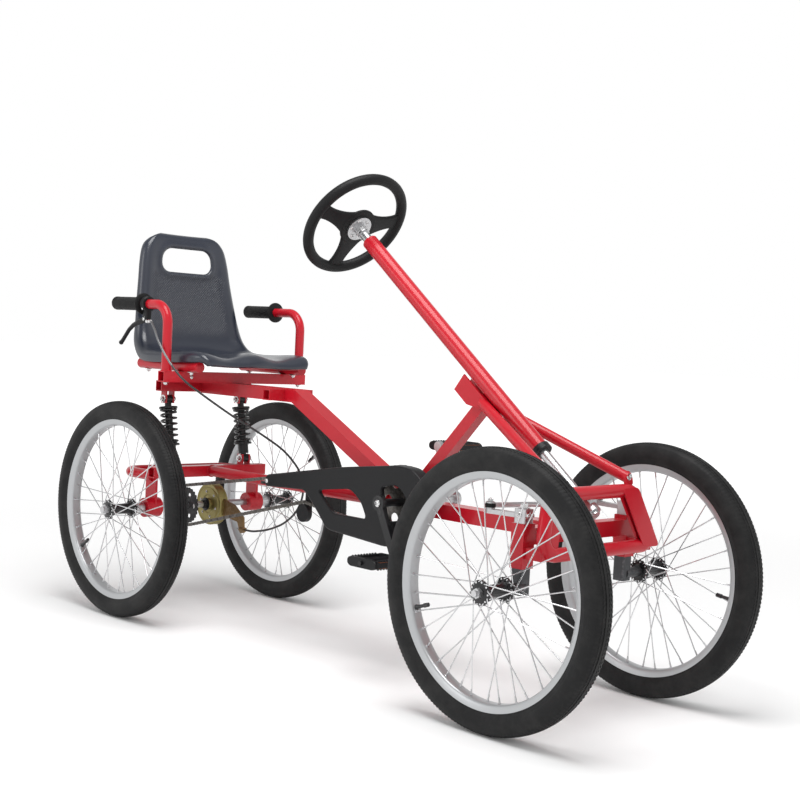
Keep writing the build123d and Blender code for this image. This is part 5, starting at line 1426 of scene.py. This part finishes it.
    def dress(self, shop: Workshop) -> None:
        """Makes the seat and gives its sheet a wall.

        Args:
            shop: makes the piece.
        """
        seat = shop.piece("Seat_shell", self.form(), "frame", [Skin.SEAT], ["seat_shell"],
                          angle=SEAT_ANGLE)
        up = sum((face.normal.z for face in seat.data.polygons), 0.0)
        wall = seat.modifiers.new("Wall", "SOLIDIFY")
        wall.thickness = self.wall * MM
        wall.offset = -1.0 if up > 0 else 1.0
        wall.use_even_offset = True


@dataclass
class Springs:
    """The two coil springs with their closed end turns."""

    start: float = 26.8
    rise: float = 78.4
    turns: float = 7.0
    coil_radius: float = 18.0
    wire_radius: float = 2.7
    closed_share: float = 0.1
    closed_rise: float = 0.1
    turn_steps: int = 26

    def form(self, hand: Hand) -> Form:
        """One spring.

        Args:
            hand: the side of the bike it is on.

        Returns:
            The form.
        """
        top = metres((SHOCK_TOP[0], hand.way * SHOCK_OUT, SHOCK_TOP[1]))
        bottom = metres((SHOCK_FOOT[0], hand.way * SHOCK_OUT, SHOCK_FOOT[1]))
        frame = stand(top, bottom - top, AXLE_AXIS)
        route = []
        steps = int(self.turns * self.turn_steps)
        for step in range(steps + 1):
            share = step / steps
            open_share = min(max((share - self.closed_share) / (1 - 2 * self.closed_share), 0.0), 1.0)
            lift = self.start + self.rise * ((1 - self.closed_rise) * open_share + self.closed_rise * share)
            turn = FULL_TURN * self.turns * share
            across = (self.coil_radius * math.cos(turn), self.coil_radius * math.sin(turn))
            route.append(frame @ metres((*across, lift)))
        form = Form()
        form.sweep(route, circle(self.wire_radius, 10))
        return form

    def dress(self, shop: Workshop) -> None:
        """Makes both springs.

        Args:
            shop: makes the pieces.
        """
        for hand in Hand:
            node = f"spring_{hand.value}"
            shop.piece(node.capitalize(), self.form(hand), "frame", [Skin.SPRING], [node])


@dataclass
class Pedal:
    """A caged platform pedal with amber reflectors on its two long edges."""

    hand: Hand
    length: float = 84.0
    width: float = 84.0
    plate: float = 8.0
    bar: float = 9.0
    bar_height: float = 15.0
    rib_place: float = 19.0
    teeth: int = 9
    tooth_pitch: float = 7.6
    tooth_root: float = 6.4
    lens: float = 1.2

    def form(self) -> Form:
        """Spindle housing, end plates, toothed bars, ribs and reflectors.

        Returns:
            The form.
        """
        form = Form()
        centre = middle(f"pedal_{self.hand.value}")
        flat = stand(centre, UP, FORWARD)
        half_x, half_y = self.length / 2, self.width / 2
        half = [(half_y - 1, 4.8), (half_y - 1, 9.0), (half_y - 6, 9.6), (10.0, 8.0)]
        housing = [(-y, radius) for y, radius in half] + half[::-1]
        form.lathe(housing, stand(centre, AXLE_AXIS), 24, loop=True)
        end = eased([(-half_x, -5.0), (-half_x + 9, -10.0), (half_x - 9, -10.0), (half_x, -5.0),
                     (half_x, 5.0), (half_x - 9, 10.0), (-half_x + 9, 10.0), (-half_x, 5.0)], 6.0, 3)
        for y in (-half_y, half_y - self.plate):
            upright = Matrix(((1, 0, 0, 0), (0, 0, 1, y * MM), (0, 1, 0, 0), (0, 0, 0, 1)))
            form.prism(end, Matrix.Translation(centre) @ upright, self.plate, round_off=1.4)
        for side in (-1, 1):
            x = side * (half_x - self.bar / 2)
            end_y = half_y - self.plate / 2
            route = [flat @ metres((x, y, 0.0)) for y in (-end_y, -half_y * 0.5, 0.0, half_y * 0.5, end_y)]
            form.sweep(route, rounded_box(self.bar, self.bar_height, 2.5), side=FORWARD)
            for step in range(self.teeth):
                y = (step - (self.teeth - 1) / 2) * self.tooth_pitch
                for up in (-1, 1):
                    seat = stand(flat @ metres((x, y, up * self.tooth_root)), UP * up, FORWARD)
                    form.lathe([(0.0, 2.9), (2.8, 2.4), (3.8, 1.3)], seat, 6)
            ribs = [flat @ metres((side * self.rib_place, y, 0.0)) for y in (-end_y, 0.0, end_y)]
            form.sweep(ribs, rounded_box(4.0, 12.0, 1.2), side=FORWARD)
            lens = stand(flat @ metres((side * (half_x - 1.4), 0.0, 0.0)), FORWARD * side, AXLE_AXIS)
            form.prism(rounded_box(70.0, 12.0, 2.0), lens, self.lens, skin=1, round_off=0.5)
        return form

    def dress(self, shop: Workshop) -> None:
        """Makes the pedal.

        Args:
            shop: makes the piece.
        """
        node = f"pedal_{self.hand.value}"
        skins = [Skin.PLASTIC, Skin.REFLECTOR]
        shop.piece(node.capitalize(), self.form(), node, skins, [node])


@dataclass
class Grip:
    """A ribbed rubber grip with a round flange at its front and a closed end."""

    hand: Hand
    radius: float = 15.6
    collar_radius: float = 25.0
    rib_start: float = 11.0
    plain_length: float = 26.0
    rib_pitch: float = 5.2
    rib_depth: float = 0.7

    def form(self) -> Form:
        """The sleeve's turned form.

        Returns:
            The form.
        """
        low, high = (Vector(corner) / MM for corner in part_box(f"grip_{self.hand.value}"))
        length = high.x - low.x
        wide, full, groove = self.collar_radius, self.radius, self.radius - self.rib_depth
        profile = [(0.0, 11.2), (0.0, wide - 1.6), (1.2, wide), (4.2, wide), (5.8, wide - 1.8), (6.4, 18.4),
                   (9.0, 17.0)]
        for rib in range(int((length - self.plain_length) / self.rib_pitch)):
            for share, radius in ((0.0, full), (0.6, full), (0.7, groove), (0.9, groove)):
                profile.append((self.rib_start + (rib + share) * self.rib_pitch, radius))
        profile += [(length - 13.0, full + 0.3), (length - 4.0, full + 0.3), (length - 1.2, full - 2),
                    (length, full - 6), (length, 0.4)]
        form = Form()
        front = metres((high.x, (low.y + high.y) / 2, (low.z + high.z) / 2))
        form.lathe(profile, stand(front, -FORWARD), 48)
        return form

    def dress(self, shop: Workshop) -> None:
        """Makes the grip."""
        node = f"grip_{self.hand.value}"
        shop.piece(node.capitalize(), self.form(), "frame", [Skin.GRIP], [node])


@dataclass
class BrakeLever:
    """The hand lever under the right grip: clamp, perch, blade and cable adjuster."""

    line_y: float = -ARMREST_OUT
    arm_z: float = 737.0
    clamp_x: float = -568.0
    perch_levels: tuple[float, ...] = (724.0, 716.0, 708.0, 700.0, 696.0)
    blade_half: float = 4.6
    # X, Z and half the width at each place along the blade
    blade: tuple[Spot, ...] = (
        (-566.0, 707.0, 8.0), (-586.0, 699.0, 7.2), (-606.0, 693.5, 6.0), (-626.0, 686.5, 5.2),
        (-644.0, 675.0, 4.8), (-660.0, 659.0, 4.6), (-670.0, 649.0, 4.9), (-676.5, 643.8, 5.2))

    def form(self) -> Form:
        """All its black and silver pieces.

        Returns:
            The form.
        """
        form = Form()
        clamp = stand(metres((self.clamp_x - 7.0, self.line_y, self.arm_z)), FORWARD)
        form.lathe([(0.0, 11.2), (0.0, 16.6), (1.2, 17.8), (12.8, 17.8), (14.0, 16.6), (14.0, 11.2)], clamp,
                   40, loop=True)
        perch = [metres((self.clamp_x - 2.0, self.line_y, z)) for z in self.perch_levels]
        form.sweep(perch, lambda share: rounded_box(20.0 - 3.0 * share, 15.0 - 2.0 * share, 3.5),
                   side=FORWARD)
        form.sweep([metres((x, self.line_y, z)) for x, z, _ in self.blade], self.blade_section,
                   side=AXLE_AXIS)
        tip = metres((self.blade[-1][0], self.line_y, self.blade[-1][1]))
        form.lathe([(-5.6, 0.6), (-4.6, 3.2), (-2.6, 5.0), (0.0, 5.7), (2.6, 5.0), (4.6, 3.2), (5.6, 0.6)],
                   stand(tip, AXLE_AXIS), 20)
        for side in (-1, 1):
            pivot = metres((self.clamp_x - 4.0, self.line_y + side * 7.4, 702.0))
            pan_head(form, pivot, AXLE_AXIS * side, 4.2, 1)
        clamp_screw = metres((self.clamp_x, self.line_y - 13.0, self.arm_z - 11.0))
        hexagon_head(form, clamp_screw, Vector((0.0, -1.0, -0.5)), 3.2, 1, washer=False)
        barrel = stand(metres((-561.0, self.line_y - 4.0, 697.0)), FORWARD)
        form.lathe([(-3.0, 4.6), (5.0, 4.6), (5.4, 3.4), (7.0, 3.4), (7.4, 4.4), (12.0, 4.4), (12.6, 3.2),
                    (15.0, 3.0)], barrel, 14, 1)
        return form

    def blade_section(self, share: float) -> Profile:
        """The blade's section.

        Args:
            share: the share of its length.

        Returns:
            An ellipse in millimetres.
        """
        widths = [half for _, _, half in self.blade]
        place = share * (len(widths) - 1)
        first = min(int(place), len(widths) - 2)
        half = widths[first] + (widths[first + 1] - widths[first]) * (place - first)
        return [(self.blade_half * math.cos(turn), half * math.sin(turn)) for turn in turns(14)]

    def dress(self, shop: Workshop) -> None:
        """Makes the lever."""
        skins = [Skin.PLASTIC, Skin.BOLT]
        shop.piece("Brake_lever", self.form(), "frame", skins, ["brake_lever"])


@dataclass
class BandBrake:
    """The band brake on the rear axle: pressed cover with its screws and the hub nut."""

    depth: float = 22.0
    screw_circle: float = 31.5
    screw_count: int = 6

    def form(self) -> Form:
        """The pressed cover with a raised boss and rim, its six screws and the nut.

        Returns:
            The form.
        """
        _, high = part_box("brake_cover")
        axle = middle("sprocket")
        seat = stand(Vector((axle.x, high[1] - self.depth * MM, axle.z)), AXLE_AXIS)
        boss = [(-8.0, 8.3), (-8.0, 13.0), (-6.8, 14.0), (-0.6, 14.6), (0.2, 17.0), (0.6, 22.0)]
        face = [(-0.8, 23.4), (-0.8, 39.5), (0.8, 41.4), (0.8, 45.0), (-0.2, 46.6), (-0.2, 49.4)]
        wall = [(1.6, 51.6), (4.0, 52.0), (9.0, 52.0), (9.4, 51.0), (17.6, 51.0), (18.0, 52.0), (21.6, 52.0),
                (22.0, 51.4), (22.0, 49.6)]
        inside = [(3.6, 49.2), (3.2, 8.3)]
        form = Form()
        form.lathe(boss + face + wall + inside, seat, 96, loop=True)
        for step in range(self.screw_count):
            turn = FULL_TURN * (step + 0.25) / self.screw_count
            across = (self.screw_circle * math.cos(turn), self.screw_circle * math.sin(turn))
            pan_head(form, seat @ metres((*across, -0.6)), -AXLE_AXIS, 3.4, 1)
        hexagon_head(form, seat @ metres((0.0, 0.0, -7.6)), -AXLE_AXIS, 11.0, 2)
        return form

    def dress(self, shop: Workshop) -> None:
        """Makes the cover."""
        skins = [Skin.GOLD, Skin.BOLT, Skin.BLACK_PAINT]
        shop.piece("Brake_cover", self.form(), "frame", skins, ["brake_cover"])


@dataclass
class ChainGuard:
    """The moulded guard: a face with two openings, rolled edges and walls turned in towards the chain."""

    face_y: float = -96.0
    depth: float = 29.6
    wall: float = 3.0
    roll: float = 4.0
    outline_corner: float = 16.0
    opening_corner: float = 14.0
    lip_depth: float = 9.0
    lip_width: float = 2.6
    screw_place: Pair = (-221.0, 356.0)
    outline: tuple[Pair, ...] = (
        (-231.0, 343.0), (-229.0, 369.0), (22.0, 411.0), (198.0, 432.0), (240.0, 428.0), (268.0, 408.0),
        (284.0, 372.0), (280.0, 330.0), (236.0, 276.0), (172.0, 262.0), (-14.0, 274.0), (-38.0, 300.0),
        (-92.0, 350.0))
    openings: tuple[tuple[Pair, ...], ...] = (
        ((-48.0, 355.0), (58.0, 369.0), (92.0, 346.0), (112.0, 311.0), (4.0, 311.0)),
        ((150.0, 384.0), (200.0, 392.0), (230.0, 366.0), (212.0, 322.0), (172.0, 314.0)))

    def level(self, line: Profile, inward: float) -> list[Vector]:
        """A line of the guard's X and Z, that many millimetres behind its face."""
        return [metres((x, self.face_y + inward, z)) for x, z in line]

    def form(self) -> Form:
        """The guard with its outer wall and the lips of its openings.

        Returns:
            The form.
        """
        form = Form()
        outer = eased(self.outline, self.outline_corner)
        holes = [eased(opening, self.opening_corner) for opening in self.openings]
        flat_holes = [shrunk(hole, -self.roll * 0.6) for hole in holes]
        loops = [shrunk(outer, self.roll), *flat_holes]
        face = [point for loop in loops for point in loop]
        triangles = geometry.tessellate_polygon([[Vector((x, z, 0.0)) for x, z in loop] for loop in loops])
        form.add(self.level(face, 0.0), triangles)
        form.add(self.level(face, self.wall), triangles)
        edge = [(self.roll, 0.0), (self.roll * 0.55, 0.25), (self.roll * 0.2, 0.6), (0.0, 1.3)]
        rows = [self.level(shrunk(outer, inset), rise * self.roll * 0.7) for inset, rise in edge]
        inner = shrunk(outer, self.wall)
        rows += [self.level(outer, self.depth), self.level(inner, self.depth), self.level(inner, self.wall)]
        form.rows(rows, ends=False)
        for hole, flat in zip(holes, flat_holes):
            back = shrunk(hole, -self.lip_width)
            lip = [self.level(flat, 0.0), self.level(hole, self.roll * 0.4),
                   self.level(hole, self.lip_depth), self.level(back, self.lip_depth),
                   self.level(back, self.wall)]
            form.rows(lip, ends=False)
        return form

    def screw(self) -> Form:
        """The pale screw at the guard's rear end.

        Returns:
            The form.
        """
        form = Form()
        pan_head(form, self.level([self.screw_place], 0.0)[0], -AXLE_AXIS, 5.2)
        return form

    def dress(self, shop: Workshop) -> None:
        """Makes the guard and its screw."""
        shop.piece("Chain_guard", self.form(), "frame", [Skin.PLASTIC], ["chain_guard"])
        shop.piece("Guard_screws", self.screw(), "frame", [Skin.BOLT])


@dataclass
class Fastening:
    """One bolt head: where it sits, where it points and how big it is."""

    place: Spot
    way: Vector
    size: float
    round_head: bool = False


@dataclass
class Fastenings:
    """The bolts, nuts and screws of one body."""

    name: str
    body: str
    heads: list[Fastening]

    def dress(self, shop: Workshop) -> None:
        """Makes the body's bolts as one piece.

        Args:
            shop: makes the piece.
        """
        form = Form()
        for head in self.heads:
            maker = pan_head if head.round_head else hexagon_head
            maker(form, metres(head.place), head.way, head.size)
        shop.piece(self.name, form, self.body, [Skin.BOLT])


@dataclass
class BoltPlan:
    """Where the bolted joints of the frame, the steered knuckles and the drive have their heads."""

    shock_half: float = 12.5
    beam_face: float = 20.2
    armrest_nut_z: float = 559.8
    rail_bolts: Pair = (-625.0, -450.0)
    rail_out: float = 150.0
    rail_nut_z: float = 585.2
    clip_screw: Spot = (-471.3, -133.0, 572.5)
    kingpin_x: float = 588.0
    kingpin_out: float = 150.0
    kingpin_top: float = 395.4
    knuckle_face_x: float = 601.2
    knuckle_z: float = 384.0
    knuckle_half: float = 13.2
    knuckle_screw_gap: float = 6.0
    rod_eye_top: float = 398.9
    crank_end: float = 114.2

    def frame(self) -> Fastenings:
        """The heads on the frame.

        Returns:
            Those of the strut eyes, the beam's pivot, the arm rests, the rails and the cable's clip.
        """
        heads = []
        for hand in Hand:
            for x, z in (SHOCK_TOP, SHOCK_FOOT):
                for face in (1, -1):
                    y = hand.way * (SHOCK_OUT + face * self.shock_half)
                    heads.append(Fastening((x, y, z), hand.out * face, 6.5))
            heads.append(Fastening((BEAM_PIVOT[0], hand.way * self.beam_face, BEAM_PIVOT[1]), hand.out, 9.0))
            heads.append(Fastening((ARMREST_X, hand.way * ARMREST_OUT, self.armrest_nut_z), -UP, 5.0))
            heads += [Fastening((x, hand.way * self.rail_out, self.rail_nut_z), -UP, 5.5)
                      for x in self.rail_bolts]
        heads.append(Fastening(self.clip_screw, FORWARD, 4.6, True))
        return Fastenings("Frame_bolts", "frame", heads)

    def knuckle(self, hand: Hand) -> Fastenings:
        """The heads on one knuckle.

        Args:
            hand: the knuckle's side.

        Returns:
            The kingpin's nut, three screws of the knuckle and the tie rod's nut.
        """
        y = hand.way * self.kingpin_out
        heads = [Fastening((self.kingpin_x, y, self.kingpin_top), UP, 7.5)]
        for gap in (-self.knuckle_screw_gap, self.knuckle_screw_gap):
            heads.append(Fastening((self.knuckle_face_x, y + gap, self.knuckle_z), FORWARD, 3.8))
        heads.append(Fastening((self.kingpin_x, y + hand.way * self.knuckle_half, self.knuckle_z), hand.out,
                               4.2))
        heads.append(Fastening((ROD_EYE_X, hand.way * ROD_EYE_OUT, self.rod_eye_top), UP, 5.2))
        return Fastenings(f"Knuckle_bolts_{hand.value}", f"knuckle_{hand.value}", heads)

    def crank(self) -> Fastenings:
        """The screws that hold the crank arms on their spindle.

        Returns:
            One screw on each side.
        """
        heads = [Fastening((CRANK_AXIS[0], hand.way * self.crank_end, CRANK_AXIS[1]), hand.out, 7.5, True)
                 for hand in Hand]
        return Fastenings("Crank_bolts", "crank", heads)

    def dress(self, shop: Workshop) -> None:
        """Makes every body's bolts.

        Args:
            shop: makes the pieces.
        """
        for bolts in (self.frame(), self.knuckle(Hand.LEFT), self.knuckle(Hand.RIGHT), self.crank()):
            bolts.dress(shop)


@dataclass
class Weld:
    """One bead of weld round a tube."""

    place: Spot
    way: Vector
    radius: float


@dataclass
class Welds:
    """The frame's weld beads under the paint."""

    bead: float = 2.1
    ripple: float = 0.45
    ripple_step: float = 2.1
    sunk: float = 0.3
    carrier: Spot = (-562.0, 0.0, 340.0)
    loop_x: float = -590.0
    loop_out: float = 150.0
    loop_z: float = 330.0
    armrest_z: float = 585.6

    def table(self) -> list[Weld]:
        """Where the frame's tubes meet.

        Returns:
            A weld for each joint of two tubes.
        """
        found = [Weld(self.carrier, FORWARD, 13.4)]
        for side in (-1, 1):
            found.append(Weld((ARMREST_X, side * ARMREST_OUT, self.armrest_z), UP, 11.2))
            found.append(Weld((self.loop_x, side * self.loop_out, self.loop_z), FORWARD, 12.8))
            found.append(Weld((BEAM_PIVOT[0], side * 15.5, BEAM_PIVOT[1] + 1.0), AXLE_AXIS, 15.2))
            found.append(Weld((CRANK_AXIS[0], side * 20.4, CRANK_AXIS[1]), AXLE_AXIS, 20.4))
        return found

    def form(self) -> Form:
        """All beads, each a lumpy ring.

        Returns:
            The form.
        """
        form = Form()
        for weld in self.table():
            seat = stand(metres(weld.place), weld.way)
            ring = [(up, weld.radius + out) for out, up in circle(self.bead, 8)]
            form.lathe(ring, seat, 72, loop=True,
                       reach=lambda _, step: self.ripple * math.sin(step * self.ripple_step) - self.sunk)
        return form

    def dress(self, shop: Workshop) -> None:
        """Makes the beads."""
        shop.piece("Weld_beads", self.form(), "frame", [Skin.RED_PAINT])


@dataclass
class LoopEnds:
    """The flat plate at the front loop's left end and the lugs that hold the braces."""

    lower: Spot = (645.0, 165.0, 317.0)
    upper: Spot = (621.0, 122.0, 421.0)
    inner_width: float = 45.0
    overlap: float = 4.0
    corner: float = 9.0
    sheet: float = 2.4
    stand_off: float = 10.8
    lug_thickness: float = 5.0
    lug_lean: float = 0.2
    lug_outline: tuple[Pair, ...] = ((-12.0, -2.0), (12.0, -2.0), (12.0, 16.0), (5.0, 26.0), (-5.0, 26.0),
                                     (-12.0, 16.0))

    def form(self) -> Form:
        """The plate, the lugs and their bolts.

        Returns:
            The form.
        """
        form = Form()
        for side in (-1, 1):
            foot = metres((self.upper[0] - 2.5, side * (self.upper[1] - 12.0), self.upper[2] + 11.0))
            place = stand(foot, FORWARD + UP * self.lug_lean, AXLE_AXIS)
            form.prism(eased(self.lug_outline, 6.0, 4), place, self.lug_thickness, round_off=1.2)
            hexagon_head(form, place @ metres((0.0, 15.0, self.lug_thickness)), place.to_3x3() @ UP, 4.8, 1)
        self.add_plate(form)
        return form

    def add_plate(self, form: Form) -> None:
        """Adds the plate across the loop's left end.

        Args:
            form: the form that takes it.
        """
        foot = metres((self.lower[0], 0.0, self.lower[2]))
        rise = metres((self.upper[0], 0.0, self.upper[2])) - foot
        height = rise.length / MM + self.overlap
        up = rise.normalized()
        out = AXLE_AXIS.cross(up)
        outline = eased([(self.lower[1] + 4, -self.overlap), (self.upper[1] + 5, height),
                         (self.upper[1] - self.inner_width, height),
                         (self.lower[1] - self.inner_width, -self.overlap)], self.corner, 4)
        turn = Matrix(((0, up.x, out.x, 0), (1, 0, 0, 0), (0, up.z, out.z, 0), (0, 0, 0, 1)))
        seat = Matrix.Translation(foot + out * (self.stand_off * MM)) @ turn
        form.prism(outline, seat, self.sheet, round_off=0.8)

    def dress(self, shop: Workshop) -> None:
        """Makes the plate and the lugs."""
        shop.piece("Loop_end_plates", self.form(), "frame", [Skin.RED_PAINT, Skin.BOLT])


@dataclass
class RodBoot:
    """The rubber boot of a tie rod's outer ball joint."""

    hand: Hand
    foot_z: float = 386.6

    def form(self) -> Form:
        """The folded sleeve.

        Returns:
            The form.
        """
        form = Form()
        seat = stand(metres((ROD_EYE_X, self.hand.way * ROD_EYE_OUT, self.foot_z)), UP)
        form.lathe([(-0.2, 5.0), (0.0, 8.2), (0.8, 9.2), (1.6, 7.6), (2.4, 9.6), (3.4, 9.9), (8.6, 9.9),
                    (10.4, 9.0), (12.2, 6.0), (12.4, 4.4)], seat, 28)
        return form

    def dress(self, shop: Workshop) -> None:
        """Makes the boot."""
        hand = self.hand.value
        shop.piece(f"Rod_boot_{hand}", self.form(), f"tie_rod_{hand}", [Skin.GRIP])


def grey_ramp(tree: bpy.types.NodeTree, value: bpy.types.NodeSocket, span: Pair,
              tones: Pair) -> bpy.types.NodeSocket:
    """A grey that follows a value.

    Args:
        tree: the tree that takes the nodes.
        value: the value's socket.
        span: the value's range.
        tones: the greys at its two ends.

    Returns:
        The colour's socket.
    """
    tone = wire(tree, "MapRange", {"Value": value, "From Min": span[0], "From Max": span[1],
                                   "To Min": tones[0], "To Max": tones[1]}).outputs[0]
    return wire(tree, "CombineColor", {"Red": tone, "Green": tone, "Blue": tone}).outputs[0]


@dataclass(frozen=True)
class Lamp:
    """A soft square light: where it hangs, the point it faces, its side in metres and its power in watts."""

    name: str
    place: Spot
    aim: Spot
    size: float
    power: float

    def hang(self) -> None:
        """Puts the light into the scene."""
        data = bpy.data.lights.new(self.name, "AREA")
        data.shape, data.size, data.energy = "SQUARE", self.size, self.power
        lamp = bpy.data.objects.new(self.name, data)
        bpy.context.scene.collection.objects.link(lamp)
        lamp.matrix_world = stand(Vector(self.place), Vector(self.place) - Vector(self.aim))


@dataclass
class Studio:
    """The camera at the photograph's angle, soft light and a pale floor, in metres."""

    focal_pixels: float = 1356.27
    centre_pixels: Pair = (450.0, 450.0)
    image: float = 800.0
    yaw: float = 44.1967
    pitch: float = 4.4409
    roll: float = 3.0179
    place: Spot = (2.1668, -1.9717, 0.6798)
    sensor: float = 36.0
    nearest: float = 0.05
    farthest: float = 60.0
    lamps: tuple[Lamp, ...] = (
        Lamp("Sky_panel", (0.5, -0.5, 3.0), (0.0, 0.0, 0.3), 1.8, 70.0),
        Lamp("Side_panel", (-1.2, -3.2, 1.9), (0.0, 0.0, 0.4), 1.4, 16.0))
    horizon_rise: Pair = (0.28, 0.65)
    zenith: float = 0.45
    floor_reach: float = 40.0
    floor_tone: float = 0.93
    floor_roughness: float = 0.9
    floor_specular: float = 0.1
    glow_ring: Pair = (0.9, 5.0)
    glow: float = 0.6

    def camera(self) -> None:
        """Makes the camera and sets it as the scene's."""
        yaw, pitch, roll = (math.radians(value) for value in (self.yaw, self.pitch, self.roll))
        back = Vector((math.sin(yaw) * math.cos(pitch), -math.cos(yaw) * math.cos(pitch), math.sin(pitch)))
        level = Vector((math.cos(yaw), math.sin(yaw), 0.0))
        upright = back.cross(level)
        right = level * math.cos(roll) + upright * math.sin(roll)
        up = upright * math.cos(roll) - level * math.sin(roll)
        data = bpy.data.cameras.new("Camera")
        data.sensor_width = self.sensor
        data.lens = self.focal_pixels / self.image * data.sensor_width
        data.shift_x = (self.image / 2 - self.centre_pixels[0]) / self.image
        data.shift_y = (self.centre_pixels[1] - self.image / 2) / self.image
        data.clip_start, data.clip_end = self.nearest, self.farthest
        camera = bpy.data.objects.new("Camera", data)
        bpy.context.scene.collection.objects.link(camera)
        turn = Matrix((right, up, back)).transposed().to_4x4()
        camera.matrix_world = Matrix.Translation(Vector(self.place)) @ turn
        bpy.context.scene.camera = camera

    def floor_finish(self) -> bpy.types.Material:
        """The floor's material: pale, and brighter by itself away from the bike.

        Returns:
            The material.
        """
        pale = bpy.data.materials.new("floor_pale")
        pale.use_nodes = True
        tree = pale.node_tree
        surface = tree.nodes["Principled BSDF"]
        surface.inputs["Base Color"].default_value = (*[self.floor_tone] * 3, 1)
        surface.inputs["Roughness"].default_value = self.floor_roughness
        surface.inputs["Specular IOR Level"].default_value = self.floor_specular
        surface.inputs["Emission Strength"].default_value = 1.0
        place = wire(tree, "TexCoord")
        away = wire(tree, "VectorMath", {0: place.outputs["Object"]}, operation="LENGTH")
        tree.links.new(grey_ramp(tree, away.outputs["Value"], self.glow_ring, (0.0, self.glow)),
                       surface.inputs["Emission Color"])
        return pale

    def floor(self) -> None:
        """A pale floor under the wheels and far round them."""
        reach = self.floor_reach
        corners = [(-reach, -reach, 0.0), (reach, -reach, 0.0), (reach, reach, 0.0), (-reach, reach, 0.0)]
        mesh = bpy.data.meshes.new("Floor")
        mesh.from_pydata(corners, [], [(0, 1, 2, 3)])
        mesh.materials.append(self.floor_finish())
        floor = bpy.data.objects.new("Floor", mesh)
        bpy.context.scene.collection.objects.link(floor)

    def sky(self) -> None:
        """A white world that darkens towards its zenith."""
        world = bpy.data.worlds.new("Studio")
        bpy.context.scene.world = world
        world.use_nodes = True
        tree = world.node_tree
        place = wire(tree, "TexCoord")
        parts = wire(tree, "SeparateXYZ", {0: place.outputs["Generated"]})
        tone = grey_ramp(tree, parts.outputs["Z"], self.horizon_rise, (1.0, self.zenith))
        tree.links.new(tone, tree.nodes["Background"].inputs["Color"])

    def build(self) -> None:
        """Sets camera, world, lights and floor."""
        self.camera()
        self.sky()
        for lamp in self.lamps:
            lamp.hang()
        bpy.context.scene.view_settings.view_transform = "Standard"
        self.floor()


@dataclass(frozen=True)
class Band:
    """The part of a node inside a box, with a finish of its own: the box's corners in millimetres."""

    node: str
    low: Spot
    high: Spot
    skin: Skin

    def holds(self, point: Vector) -> bool:
        """Whether a point, in metres, lies in the box."""
        return all(low * MM <= value <= high * MM for low, value, high in zip(self.low, point, self.high))


BANDS = (
    Band("knuckle_left", (500.0, 0.0, 200.0), (700.0, 196.0, 300.0), Skin.STEEL),
    Band("knuckle_right", (500.0, -196.0, 200.0), (700.0, 0.0, 300.0), Skin.STEEL),
    Band("brake_cable", (-900.0, -400.0, 0.0), (900.0, 400.0, 600.0), Skin.CABLE),
    # The drive-side crank arm behind the chain guard: painted shade, black where the real arm is silver like
    # the left one
    Band("crank_arms", (-100.0, -400.0, 0.0), (400.0, -60.0, 600.0), Skin.BLACK_PAINT),
)


def paint_nodes(nodes: dict[str, bpy.types.Object], finishes: dict[Skin, bpy.types.Material]) -> None:
    """Gives each CAD node its finish.

    Args:
        nodes: the frame's nodes by name.
        finishes: the material of each skin.
    """
    for skin, names in NODE_SKINS.items():
        for name in names:
            slots = nodes[name].data.materials
            slots.clear()
            slots.append(finishes[skin])
    for band in BANDS:
        mesh = nodes[band.node].data
        mesh.materials.append(finishes[band.skin])
        place = nodes[band.node].matrix_world
        for face in mesh.polygons:
            if band.holds(place @ face.center):
                face.material_index = 1


# The four wheels, with their valves where the photograph has them
WHEELS = (
    Wheel("front_right", "wheel_front_right", 162.0),
    Wheel("front_left", "wheel_front_left", 8.0),
    Wheel("rear_right", "rear_axle", 146.0),
    Wheel("rear_left", "rear_axle", 317.0),
)


def main() -> None:
    """Builds the studio, the finishes and every piece, and notes the sizes."""
    logging.basicConfig(level=logging.INFO, format="%(name)s %(message)s")
    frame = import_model()
    Studio().build()
    effects = Effects()
    finishes = {finish.skin: finish.build(effects) for finish in FINISHES}
    paint_nodes(frame["nodes"], finishes)
    shop = Workshop(finishes)
    whole = (*WHEELS, ChainRun(), SteeringWheel(), Springs(), ChainGuard(), BandBrake(), SeatShell(),
             BrakeLever(), Welds(), LoopEnds())
    paired = [made(hand) for hand in Hand for made in (Pedal, Grip, RodBoot)]
    for assembly in (*whole, *paired, BoltPlan()):
        assembly.dress(shop)
    LOG.info("%d pieces made", shop.made)


if __name__ == "__main__":
    main()
